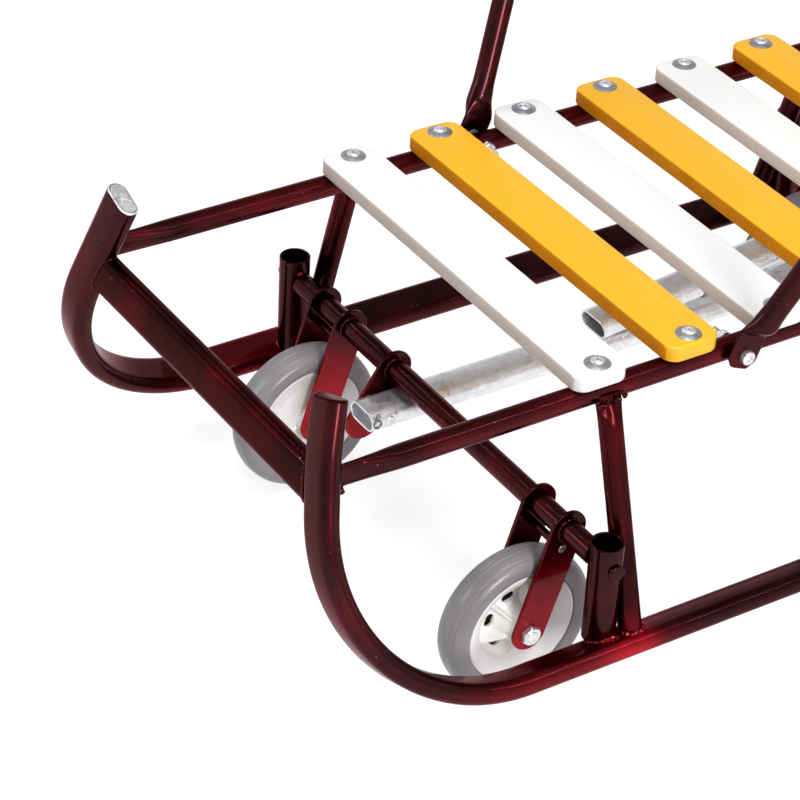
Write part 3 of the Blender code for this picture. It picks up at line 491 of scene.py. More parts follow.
# Shader groups
PLY = 0.0014  # thickness of a ply
SPECK_COLOR = (0.42, 0.12, 0.12, 1.0)  # light specks in the paint


class Group:
    """A shader node group with named sockets, built once and placed in many materials."""

    def __init__(self, name: str, inputs: dict[str, float | Color], *outputs: str) -> None:
        """Makes the group's sockets, with outputs Color and Normal.

        Args:
            name: the group's name.
            inputs: inputs with their defaults; a name that ends in Color is a colour.
            outputs: names of further outputs, which are numbers.
        """
        self.tree = bpy.data.node_groups.new(name, "ShaderNodeTree")
        for label, default in inputs.items():
            kind = "NodeSocketColor" if label.endswith("Color") else "NodeSocketFloat"
            socket = self.tree.interface.new_socket(label, in_out="INPUT", socket_type=kind)
            socket.default_value = rgba(default) if kind == "NodeSocketColor" else default
        kinds = {"Color": "NodeSocketColor", **dict.fromkeys(outputs, "NodeSocketFloat")}
        for label, kind in (kinds | {"Normal": "NodeSocketVector"}).items():
            self.tree.interface.new_socket(label, in_out="OUTPUT", socket_type=kind)
        self.source = self.tree.nodes.new("NodeGroupInput")
        self.sink = self.tree.nodes.new("NodeGroupOutput")
        self.coordinates = self.tree.nodes.new("ShaderNodeTexCoord").outputs["Object"]

    def node(self, kind: str, settings: dict[str, object] | None = None, **links: object) -> Node:
        """Adds a node, as add_node does."""
        return add_node(self.tree, kind, settings, **links)

    def noise(self, scale: object, detail: float) -> NodeSocket:
        """The value of a noise over the piece's own coordinates."""
        return self.node("TexNoise", Vector=self.coordinates, Scale=scale, Detail=detail).outputs["Fac"]

    def math(self, operation: str, *values: object, clamp: bool = False) -> NodeSocket:
        """The result of a math node on its values, in their order."""
        feeds = {f"i{index}": value for index, value in enumerate(values)}
        return self.node("Math", {"operation": operation, "use_clamp": clamp}, **feeds).outputs["Value"]

    def span(self, value: object, low: object = 0.0, high: object = 1.0, start: object = 0.0,
             end: object = 1.0) -> NodeSocket:
        """A value's place between low and high, told as a number between start and end."""
        node = self.node("MapRange", Value=value, From_Min=low, From_Max=high, To_Min=start, To_Max=end)
        return node.outputs["Result"]

    def blend(self, share: object, first: object, second: object) -> NodeSocket:
        """Two colours mixed by a share of the second."""
        return self.node("Mix", {"data_type": "RGBA"}, i0=share, i6=first, i7=second).outputs[2]

    def finish(self, color: NodeSocket, strength: object, distance: float, height: object) -> None:
        """Feeds the outputs Color and Normal, the normal from a bump.

        Args:
            color: the colour.
            strength: the bump's strength.
            distance: the bump's full height in metres.
            height: the surface's height as a share of it.
        """
        self.put("Color", color)
        bump = self.node("Bump", Strength=strength, Distance=distance, Height=height)
        self.put("Normal", bump.outputs["Normal"])

    def put(self, label: str, socket: NodeSocket) -> None:
        """Feeds one of the group's outputs."""
        self.tree.links.new(socket, self.sink.inputs[label])


def add_node(tree: NodeTree, kind: str, settings: dict[str, object] | None = None,
             **links: object) -> Node:
    """Adds a node to a tree, sets its properties and feeds its inputs.

    Args:
        tree: the node tree.
        kind: the node's type, without its ShaderNode prefix.
        settings: node properties.
        links: inputs by name, with _ for a space, or by i and a number, given a value or a socket.

    Returns:
        The node.
    """
    node = tree.nodes.new("ShaderNode" + kind)
    for key, value in (settings or {}).items():
        setattr(node, key, value)
    for key, value in links.items():
        numbered = key[0] == "i" and key[1:].isdigit()
        target = node.inputs[int(key[1:]) if numbered else key.replace("_", " ")]
        if isinstance(value, NodeSocket):
            tree.links.new(value, target)
        else:
            target.default_value = value
    return node


def rgba(color: Color) -> tuple[float, float, float, float]:
    """A colour with full alpha."""
    return (*color, 1.0)


def patches_group() -> Group:
    """Soft patches that mix two colours, with a fine ripple for the surface's height."""
    group = Group("soft_patches", {
        "First Color": (0.1, 0.1, 0.1), "Second Color": (0.2, 0.2, 0.2), "Patch Scale": 20.0,
        "Patch Low": 0.4, "Patch High": 0.6, "Ripple Scale": 600.0, "Ripple": 0.1,
    })
    source = group.source.outputs
    mask = group.span(group.noise(source["Patch Scale"], 3.0), source["Patch Low"], source["Patch High"])
    color = group.blend(mask, source["First Color"], source["Second Color"])
    group.finish(color, source["Ripple"], 0.0004, group.noise(source["Ripple Scale"], 2.0))
    return group


def paint_group() -> Group:
    """Paint layers: soft patches and the piece's own share of bright paint let the bright colour through;
    that share is partly thinner paint and partly painted sheen.

    A few of the cells of a fine pattern also carry a pale speck at their middle.
    """
    group = Group("paint_layers", {
        "Deep Color": (0.04, 0.003, 0.005), "Thin And Sheen Color": (0.5, 0.01, 0.02), "Cover": 0.0,
        "Patch Scale": 24.0, "Relief": 0.05,
    })
    source = group.source.outputs
    # The piece's share of bright paint, which is partly painted sheen.
    thin_and_sheen = group.node("Attribute", {"attribute_name": "thin_paint_and_sheen"}).outputs["Fac"]
    noise = group.noise(source["Patch Scale"], 3.0)
    patch = group.span(noise, low=0.46, high=0.74, end=0.10)
    bare = group.math("MULTIPLY", thin_and_sheen, group.span(noise, low=0.3, high=0.7, start=0.55, end=1.25))
    shown = group.math("ADD", group.math("ADD", bare, patch), source["Cover"], clamp=True)
    cells = group.node("TexVoronoi", Vector=group.coordinates, Scale=420.0).outputs
    near = group.span(cells["Distance"], low=0.22, high=0.10)
    draw = group.node("SeparateColor", Color=cells["Color"]).outputs["Red"]
    speck = group.math("MULTIPLY", near, group.math("GREATER_THAN", draw, 0.984))
    color = group.blend(speck, group.blend(shown, source["Deep Color"], source["Thin And Sheen Color"]), SPECK_COLOR)
    group.finish(color, source["Relief"], 0.0005, group.noise(320.0, 3.0))
    return group


def spangle_group() -> Group:
    """Zinc flowers: cells of unlike grey, each tilted a little its own way."""
    group = Group("zinc_flowers", {
        "Light Color": (0.8, 0.8, 0.82), "Dark Color": (0.5, 0.5, 0.52), "Cells": 140.0, "Rough Low": 0.18,
        "Rough High": 0.4, "Relief": 0.15,
    }, "Roughness")
    source = group.source.outputs
    warp = group.node("TexNoise", Vector=group.coordinates, Scale=90.0, Detail=2.0).outputs["Color"]
    shift = group.node("Mix", {"data_type": "VECTOR"}, i0=0.02, i4=group.coordinates, i5=warp).outputs[1]
    cells = group.node("TexVoronoi", Vector=shift, Scale=source["Cells"])
    draw = group.node("SeparateColor", Color=cells.outputs["Color"]).outputs
    group.put("Roughness", group.span(draw["Green"], start=source["Rough Low"], end=source["Rough High"]))
    color = group.blend(draw["Red"], source["Light Color"], source["Dark Color"])
    height = group.math("MULTIPLY_ADD", draw["Blue"], 0.6, group.noise(420.0, 4.0))
    group.finish(color, source["Relief"], 0.0004, height)
    return group


def plies_group() -> Group:
    """Layers of a plywood edge, stacked along height, with short grain marks."""
    group = Group("plywood_plies", {
        "Light Color": (0.6, 0.45, 0.35), "Dark Color": (0.3, 0.2, 0.15), "Ply": PLY, "Grain": 0.35,
    })
    source = group.source.outputs
    split = group.node("SeparateXYZ", Vector=group.coordinates)
    band = group.span(group.math("PINGPONG", split.outputs["Z"], source["Ply"]), high=PLY)
    stretch = group.node("Mapping", Vector=group.coordinates, Scale=(60.0, 400.0, 900.0))
    grain = group.node("TexNoise", Vector=stretch.outputs["Vector"], Scale=1.0, Detail=4.0)
    shade = group.math("MULTIPLY_ADD", grain.outputs["Fac"], source["Grain"], band)
    color = group.blend(group.span(shade, low=0.2, high=1.3), source["Light Color"], source["Dark Color"])
    group.finish(color, 0.25, 0.0003, shade)
    return group


# Finishes
def shaded(name: str, group: Group, values: dict[str, float | Color], own: dict[str, object]) -> Material:
    """A Principled material fed by one group.

    Args:
        name: the material's name.
        group: the group that it places.
        values: the group's own values here.
        own: values set on the shader's own sockets.

    Returns:
        The material, each of its group's outputs fed to the socket of the same name.
    """
    material = bpy.data.materials.new(name)
    material.use_nodes = True
    tree = material.node_tree
    shader = tree.nodes["Principled BSDF"]
    layer = tree.nodes.new("ShaderNodeGroup")
    layer.node_tree = group.tree
    for label, value in values.items():
        layer.inputs[label].default_value = rgba(value) if label.endswith("Color") else value
    for output in layer.outputs:
        tree.links.new(output, shader.inputs["Base Color" if output.name == "Color" else output.name])
    for label, value in own.items():
        shader.inputs[label].default_value = value
    return material


@dataclass(frozen=True)
class CandyPaint:
    """Garnet metallic gloss paint: nearly black where it lies thick, and bright red where it lies thinner and
    where sheen is painted in.
    """

    deep: Color = (0.027, 0.0018, 0.0034)
    thin_and_sheen: Color = (0.40, 0.008, 0.018)
    cover: float = 0.0
    scale: float = 24.0
    roughness: float = 0.30
    relief: float = 0.03
    coat: float = 0.22

    def build(self, name: str, layers: Group) -> Material:
        """Makes the paint.

        Args:
            name: the material's name.
            layers: the paint's group.

        Returns:
            The material.
        """
        values = {"Deep Color": self.deep, "Thin And Sheen Color": self.thin_and_sheen, "Cover": self.cover,
                  "Patch Scale": self.scale, "Relief": self.relief}
        own = {"Metallic": 1.0, "Roughness": self.roughness, "Specular Tint": (0.70, 0.45, 0.48, 1.0),
               "Coat Weight": self.coat, "Coat Roughness": 0.04, "Coat IOR": 1.5}
        return shaded(name, layers, values, own)


@dataclass(frozen=True)
class Galvanised:
    """Hot-dip zinc with flowers."""

    light: Color = (0.90, 0.90, 0.92)
    dark: Color = (0.76, 0.76, 0.79)
    cells: float = 190.0
    rough_low: float = 0.26
    rough_high: float = 0.42
    relief: float = 0.22

    def build(self, name: str, flowers: Group) -> Material:
        """Makes the zinc."""
        values = {"Light Color": self.light, "Dark Color": self.dark, "Cells": self.cells,
                  "Rough Low": self.rough_low, "Rough High": self.rough_high, "Relief": self.relief}
        return shaded(name, flowers, values, {"Metallic": 0.85})


@dataclass(frozen=True)
class PlainFinish:
    """A finish of two near colours in soft patches, for lacquer, rubber, plastic and foam."""

    first: Color
    second: Color
    scale: float = 6.0
    ripple_scale: float = 500.0
    ripple: float = 0.05
    roughness: float = 0.45
    coat: float = 0.0
    specular: float = 0.5

    def build(self, name: str, patches: Group) -> Material:
        """Makes the finish.

        Args:
            name: the material's name.
            patches: the plain finish's group.

        Returns:
            The material.
        """
        values = {"First Color": self.first, "Second Color": self.second, "Patch Scale": self.scale,
                  "Patch Low": 0.35, "Patch High": 0.65, "Ripple Scale": self.ripple_scale,
                  "Ripple": self.ripple}
        own = {"Roughness": self.roughness, "Specular IOR Level": self.specular, "Coat Weight": self.coat,
               "Coat Roughness": 0.12}
        return shaded(name, patches, values, own)


@dataclass(frozen=True)
class PlywoodEdge:
    """Bare plywood edge with its plies."""

    light: Color = (0.82, 0.72, 0.64)
    dark: Color = (0.71, 0.60, 0.52)
    grain: float = 0.4

    def build(self, name: str, plies: Group) -> Material:
        """Makes the plywood edge."""
        values = {"Light Color": self.light, "Dark Color": self.dark, "Ply": PLY, "Grain": self.grain}
        return shaded(name, plies, values, {"Roughness": 0.7})


class Finishes:
    """All the sled's materials, each built once."""

    def __init__(self) -> None:
        """Builds the shader groups and the materials."""
        layers = paint_group()
        self.paint = CandyPaint().build("garnet_paint", layers)
        # A darker copy of the paint, as painted shade on the legs, the front crossbar and the left plug.
        self.shaded_dark_paint = CandyPaint(deep=(0.015, 0.0010, 0.0018), coat=0.10).build("shaded_dark_paint", layers)
        # Forks and link plates: a dimmer bright red for their painted reflection.
        self.fork_paint = CandyPaint(thin_and_sheen=(0.30, 0.008, 0.016), roughness=0.34).build("fork_paint", layers)
        self.weld_paint = CandyPaint(
            cover=0.04, scale=420.0, roughness=0.20, relief=0.5
        ).build("weld_paint", layers)
        flowers = spangle_group()
        self.zinc = Galvanised().build("galvanised_steel", flowers)
        self.plug_zinc = Galvanised(
            (0.93, 0.93, 0.94), (0.72, 0.72, 0.74), cells=240.0, rough_low=0.3, rough_high=0.6, relief=0.5
        ).build("plug_zinc", flowers)
        self.screw_zinc = Galvanised(
            (0.86, 0.86, 0.88), (0.66, 0.66, 0.68), cells=500.0, rough_low=0.3, rough_high=0.42, relief=0.08
        ).build("screw_zinc", flowers)
        self.washer_zinc = Galvanised(
            (0.42, 0.43, 0.46), (0.30, 0.31, 0.33), cells=420.0, rough_low=0.34, rough_high=0.5, relief=0.1
        ).build("washer_zinc", flowers)
        self.wire = Galvanised(
            (0.30, 0.30, 0.31), (0.16, 0.16, 0.17), cells=500.0, rough_low=0.25, rough_high=0.4, relief=0.1
        ).build("steel_wire", flowers)
        self.ply = PlywoodEdge().build("plywood_edge", plies_group())
        patches = patches_group()
        self.white = PlainFinish(
            (0.94, 0.935, 0.93), (0.925, 0.92, 0.915), ripple_scale=160.0, ripple=0.04, coat=0.15
        ).build("white_lacquer", patches)
        self.yellow = PlainFinish(
            (0.965, 0.505, 0.012), (0.945, 0.480, 0.009), ripple_scale=160.0, ripple=0.04, coat=0.10
        ).build("yellow_lacquer", patches)
        # Long edges of the yellow slats: a darker copy of the yellow as painted shade.
        self.yellow_shaded_edge = PlainFinish(
            (0.76, 0.270, 0.003), (0.68, 0.235, 0.002), scale=40.0, ripple_scale=300.0, ripple=0.15,
            roughness=0.55, specular=0.1
        ).build("yellow_shaded_edge", patches)
        self.rubber = PlainFinish(
            (0.235, 0.220, 0.236), (0.27, 0.255, 0.27), scale=30.0, roughness=0.30
        ).build("grey_rubber", patches)
        # Inside of the hub's back: dark as painted shade seen through the hub's holes.
        self.hollow = PlainFinish(
            (0.050, 0.030, 0.030), (0.065, 0.040, 0.040), scale=60.0, roughness=0.7
        ).build("hub_painted_shade", patches)
        self.plastic = PlainFinish(
            (0.965, 0.955, 0.94), (0.94, 0.93, 0.915), scale=24.0, roughness=0.35
        ).build("white_plastic", patches)
        self.foam = PlainFinish(
            (0.022, 0.022, 0.024), (0.034, 0.034, 0.036), scale=90.0, ripple_scale=1400.0, ripple=0.6,
            roughness=0.9
        ).build("black_foam", patches)


# Shapes that the sled's pieces share
STRAP_ARC = 40  # points round a strap's end
STRAP_LINE = 9  # points along the line that divides it


def round_section(radius: float, count: int = 28) -> AtInset:
    """A section maker for round tube: the circle at an inset."""
    return lambda inset: circle(radius - inset, count)


def oval_section(count: int = 11) -> AtInset:
    """A section maker for the sled's flat-oval tube: the oval at an inset."""
    return lambda inset: oval(SIZES.oval_width - 2 * inset, SIZES.oval_thickness - 2 * inset, count)


def bell(value: Array, middle: float, spread: float) -> Array:
    """A bell curve: e to the minus square of the distance from its middle over its spread."""
    return np.exp(-(((value - middle) / spread) ** 2))


def hollow_tube(path: Array, reference: Array, section_at: AtInset, wall: float,
                lip: float = 0.0004) -> Surface:
    """A tube with a wall and softened lips: the section along the path, out on the outside and back inside.

    Args:
        path: the tube's middle line.
        reference: direction of the section's x.
        section_at: gives the section at an inset.
        wall: wall thickness.
        lip: how far the two end rings are softened.

    Returns:
        The closed surface.
    """
    first = lip * unit(path[1] - path[0])
    last = lip * unit(path[-2] - path[-1])
    line = np.concatenate((path[:1], path[:1] + first, path[1:-1], path[-1:] + last, path[-1:]))
    right, up = frames_of(line, reference)
    insets = [lip] + [0.0] * (len(line) - 2) + [lip]
    outer = np.stack([section_at(inset) for inset in insets])
    inner = np.stack([section_at(wall - inset) for inset in insets])
    return hollow(sweep(line, right, up, outer), sweep(line, right, up, inner))


def tube_distance(points: Array, center: Array, axis: Array, long_axis: Array,
                  half_flat: float, radius: float) -> Array:
    """How far points lie outside a straight tube of flat-oval section, which is round where half_flat is 0.

    Args:
        points: the points.
        center: a point of the tube's middle line.
        axis: the tube's direction.
        long_axis: direction of the section's width.
        half_flat: half the section's straight side.
        radius: radius of its round ends.

    Returns:
        The distances, negative inside.
    """
    rest = points - center
    rest = rest - (rest @ axis)[..., None] * axis
    along = rest @ long_axis
    side = np.linalg.norm(rest - along[..., None] * long_axis, axis=-1)
    return np.hypot(np.maximum(np.abs(along) - half_flat, 0.0), side) - radius


def meet(points: Array, direction: Array, distance_of: OfPoints, reach: float, samples: int = 80,
         halvings: int = 20) -> tuple[Array, Array]:
    """Slides points along a direction to where they first touch a surface.

    Each way there is sampled at even steps, and the first step that ends inside is halved down.

    Args:
        points: start points, outside the surface.
        direction: unit vector towards the surface.
        distance_of: gives the distance outside the surface.
        reach: how far ahead the surface lies at most.
        samples: steps along each way.
        halvings: how often the step is halved.

    Returns:
        The points on the surface, and which of them touched it.
    """
    steps = np.linspace(0.0, reach, samples)
    inside = distance_of(points[:, None] + steps[None, :, None] * direction) < 0
    touched = inside.any(axis=1)
    first = np.where(touched, inside.argmax(axis=1), 1)
    high = steps[first]
    low = high - steps[1]
    for _ in range(halvings):
        middle = (low + high) / 2
        outside = distance_of(points + middle[:, None] * direction) > 0
        low = np.where(outside, middle, low)
        high = np.where(outside, high, middle)
    return points + low[:, None] * direction, touched


def joint_bead(center: Array, direction: Array, reference: Array, section: Array,
               distance_of: OfPoints, radius: float, lumps: int, seed: float, back: float = 0.0,
               ahead: float = 0.045) -> tuple[Surface, Array]:
    """The bead where a tube meets another surface: its section slid along its own direction.

    Args:
        center: a point of the tube's middle line.
        direction: the tube's heading.
        reference: direction of the section's x.
        section: the tube's outline.
        distance_of: gives the distance outside the other surface.
        radius: the bead's radius.
        lumps: ripples along the bead.
        seed: phase of the ripples.
        back: how far before center the sliding starts.
        ahead: how far past center it goes at most.

    Returns:
        The bead, which is open where the section passes beside the surface, and its line.
    """
    right = unit(reference - (reference @ direction) * direction)
    up = np.cross(direction, right)
    start = center - back * direction + section[:, :1] * right + section[:, 1:] * up
    line, touched = meet(start, direction, distance_of, back + ahead)
    if touched.all():
        return bead(line, radius, lumps, seed), line
    turn = int(np.argmin(touched))
    line = np.roll(line, -turn, axis=0)[np.roll(touched, -turn)]
    return bead(line, radius, lumps, seed, closed=False), line


def strap_half(inset: float, radius: float, other: float, length: float) -> Array:
    """One half of a strap's outline about its own hole, with the strap running along +x.

    The dividing line at half the length comes first, from below to above, and then the arc round the end,
    which starts where a line that touches both end circles leaves it: at the angle whose cosine is the
    difference of the radii over the length.

    Args:
        inset: how far inside the full outline.
        radius: radius of this end.
        other: radius of the far end.
        length: from hole to hole.

    Returns:
        The outline's points, by 2, with the dividing line's first.
    """
    touch = np.arccos((radius - other) / length)
    height = (radius - inset - length / 2 * np.cos(touch)) / np.sin(touch)
    line = np.column_stack((np.full(STRAP_LINE, length / 2), np.linspace(-height, height, STRAP_LINE)))
    return np.concatenate((line, (radius - inset) * polar(np.linspace(touch, 2 * pi - touch, STRAP_ARC))))


def strap_plate(head: float, tail: float, length: float, head_hole: float, tail_hole: float, thickness: float,
                edge: float = 0.0004) -> list[Surface]:
    """A flat strap with round ends and a hole in each, as two halves that weld along their dividing line.

    Args:
        head: radius of the end at the origin.
        tail: radius of the far end, at x = length.
        length: from hole to hole.
        head_hole: radius of the hole at the origin.
        tail_hole: radius of the far hole.
        thickness: the strap's thickness, which lies along z.
        edge: width of the softened edge.

    Returns:
        The two halves in the strap's own axes.
    """
    halves = []
    sheen_from, sheen_rise = 0.22, 1.15
    face = thickness / 2
    for radius, other, hole, far in ((head, tail, head_hole, False), (tail, head, tail_hole, True)):
        full, inset = (strap_half(depth, radius, other, length) for depth in (0.0, edge))
        spoke = unit(full)
        lower = ((full, edge - face), (inset, -face), (spoke * (hole + edge), -face),
                 (spoke * hole, edge - face))
        layers = lower + tuple((flat, -height) for flat, height in reversed(lower))
        points = np.stack([raised(flat, height) for flat, height in layers])
        if far:
            points[..., 0] = length - points[..., 0]
        surface = grid(points, loop_rows=True)
        column, row = surface.faces % len(full), surface.faces // len(full)
        on_line = (column < STRAP_LINE).all(axis=1)
        on_edge = np.any([np.isin(row, rows).all(axis=1) for rows in ((0, 1), (6, 7), (7, 0))], axis=0)
        surface.faces = surface.faces[~(on_line & on_edge)]
        # Brighter red towards the far end of the strap: painted reflection.
        surface.thin_and_sheen = np.clip((surface.points[:, 0] / length - sheen_from) * sheen_rise, 0.0, 1.0)
        halves.append(surface)
    return halves


def move(surface: Surface, origin: Array, x: Array, y: Array, z: Array) -> Surface:
    """The same surface in the sled's axes."""
    return Surface(placed(surface.points, origin, x, y, z), surface.faces, surface.slot, surface.thin_and_sheen)


def hexagon_head(flats: float, height: float, chamfer: float, count: int = 48) -> Array:
    """Rings of a hexagon head with its corners taken down to a circle at the top, and rings to the middle.

    A ring lies at half the flats over the cosine of the angle to the nearest flat, and the corners are cut
    off at a share of half the flats that falls going up.

    Args:
        flats: width across the flats.
        height: the head's height.
        chamfer: height of the cut at the corners.
        count: points round each ring.

    Returns:
        Array of rings by points by 3, with the axis along z.
    """
    angle = np.linspace(0.0, 2 * pi, count, endpoint=False)
    outline = flats / 2 / np.cos((angle + pi / 6) % (pi / 3) - pi / 6)
    cut, rounded = (np.minimum(outline, flats / 2 * share) for share in (1.09, 1.02))
    levels = ((outline, 0.0), (outline, height - chamfer * 1.6), (cut, height - chamfer),
              (rounded, height - chamfer * 0.4), (rounded * 0.93, height),
              (np.full(count, flats * 0.2), height))
    return np.stack([raised(radius[:, None] * polar(angle), z) for radius, z in levels])


def blob(center: Array, half_length: float, half_height: float, radius: float, lumps: int, seed: float,
         count: int = 16) -> Surface:
    """A drop of weld or paint: a bead round so small an ellipse that no hole stays."""
    return bead(ring_path(center, half_length * ALONG, half_height * UP, count), radius, lumps, seed)


# Sub-assemblies
@dataclass
class Runners:
    """The two flat-oval runners that curl up into the nose, with the plugs in their tips."""

    finishes: Finishes
    straight_steps: int = 60
    nose_steps: int = 56
    tip_steps: int = 12
    plug_height: float = 0.0012
    left_bend: float = 0.0080
    left_short: float = 0.0040
    foot_thin_and_sheen: float = 0.95
    foot_spread: float = 0.022
    nose_sheen: float = 0.25
    nose_sheen_y: float = -0.27
    nose_spread: float = 0.05
    rim_radius: float = 0.0004

    def side_axes(self, side: str) -> tuple[Array, Array]:
        """Directions across and up in a runner's leaning plane."""
        sign, tilt = SIDES[side], SIZES.side_tilt
        return np.array((sign * cos(tilt), 0.0, sin(tilt))), np.array((-sign * sin(tilt), 0.0, cos(tilt)))

    def foot(self, side: str) -> Array:
        """The middle of one runner's long straight, at y = 0."""
        return np.array((SIDES[side] * SIZES.runner_x, 0.0, SIZES.runner_z))

    def to_sled(self, side: str, flat: Array) -> Array:
        """Points of the leaning plane, given along the sled and up the plane, in the sled's axes."""
        _, up = self.side_axes(side)
        return self.foot(side) + flat[:, :1] * ALONG + flat[:, 1:] * up

    def middle_line(self, side: str) -> Array:
        """The middle line in the leaning plane: a straight, an arc of the nose radius and the straight tip.

        The left tip is a little shorter, and bent back over its last stretch as a smooth step.

        Args:
            side: left or right.

        Returns:
            Points along the sled and up the plane.
        """
        nose_y = -SIZES.length / 2 + SIZES.oval_thickness / 2 + SIZES.nose_radius
        turn = np.linspace(0.0, SIZES.nose_sweep, self.nose_steps)
        arc = SIZES.nose_radius * np.column_stack((-np.sin(turn), 1 - np.cos(turn))) + (nose_y, 0.0)
        heading = np.array((-cos(SIZES.nose_sweep), sin(SIZES.nose_sweep)))
        straight = segment((SIZES.length / 2, 0.0), arc[0], self.straight_steps)
        tip_length = SIZES.tip_length - (self.left_short if side == "left" else 0.0)
        tip = segment(arc[-1], arc[-1] + tip_length * heading, self.tip_steps)
        if side == "left":
            tip[:, 0] += self.left_bend * smoothstep(0.3, 1.6, np.linspace(0.0, 1.0, len(tip)))
        return np.concatenate((straight[:-1], arc[:-1], tip))

    def tip_frame(self, side: str) -> tuple[Array, Array]:
        """The tip's end point and its heading."""
        line = self.to_sled(side, self.middle_line(side))
        return line[-1], unit(line[-1] - line[-2])

    def surface(self, side: str, point: Array, heading: Array) -> OfPoints:
        """A distance function for the runner's tube along one of its straights."""
        section = self.side_axes(side)[0], SIZES.oval_half_flat, SIZES.oval_thickness / 2
        return lambda points: tube_distance(points, point, heading, *section)

    def tip_surface(self, side: str) -> OfPoints:
        """A distance function for the runner's straight tip."""
        return self.surface(side, *self.tip_frame(side))

    def sole_surface(self, side: str) -> OfPoints:
        """A distance function for the runner's long straight."""
        return self.surface(side, self.foot(side), ALONG)

    def build(self) -> None:
        """Builds both runners and their plugs."""
        for side in SIDES:
            across, _ = self.side_axes(side)
            line = self.to_sled(side, self.middle_line(side))
            body = hollow_tube(line, across, oval_section(), SIZES.oval_wall)
            along = body.points[:, 1]
            feet = [(SIZES.leg_y(end) + SIZES.pivot_y(end)) / 2 for end in ENDS]
            # Bright red round the runners' feet: partly thinner paint by the welds, partly painted sheen. The
            # band near the nose is a painted highlight.
            body.thin_and_sheen = sum(self.foot_thin_and_sheen * bell(along, foot, self.foot_spread) for foot in feet)
            body.thin_and_sheen += self.nose_sheen * bell(along, self.nose_sheen_y, self.nose_spread)
            dress(f"runner_{side}", "tube", [body], [self.finishes.paint], "chassis", Slot.PAINT)
            self.build_plug(side)

    def build_plug(self, side: str) -> None:
        """The plug in one tip: a slim, softly domed cap on a core, with a dark ring along its seam as painted
        shade where it is bare.

        The cap's height falls from its middle to its edge as a quarter circle over the last two millimetres.

        Args:
            side: left, where paint covers the plug, or right, where it is bare.
        """
        end, heading = self.tip_frame(side)
        across, _ = self.side_axes(side)
        axes = end + SIZES.gap * heading, across, np.cross(heading, across), heading
        core = SIZES.oval_wall + SIZES.gap
        rows = ((core, -0.010), (core, 0.0), (0.0002, 0.0), (0.0, 0.0004), (0.0003, 0.0008),
                (0.0009, 0.00108), (0.0022, self.plug_height), (0.0045, self.plug_height))
        outline_at = oval_section(12)
        cap = capped(np.stack([placed(raised(outline_at(inset), height), *axes) for inset, height in rows]))
        if side == "left":
            # The painted plug takes the darker copy of the paint as painted shade.
            slot, surfaces, materials = Slot.PAINT, [cap], [self.finishes.shaded_dark_paint]
        else:
            # A dark wire ring along the seam: painted shade in the gap.
            height = self.plug_height - self.rim_radius / 2
            seam = placed(raised(oval_section(16)(SIZES.oval_wall), height), *axes)
            slot, surfaces = Slot.ZINC, [cap, bead(seam, self.rim_radius, 9, 0.6)]
            materials = [self.finishes.plug_zinc, self.finishes.wire]
        dress(f"tip_plug_{side}", "cap", surfaces, materials, "chassis", slot, sharp=60.0)


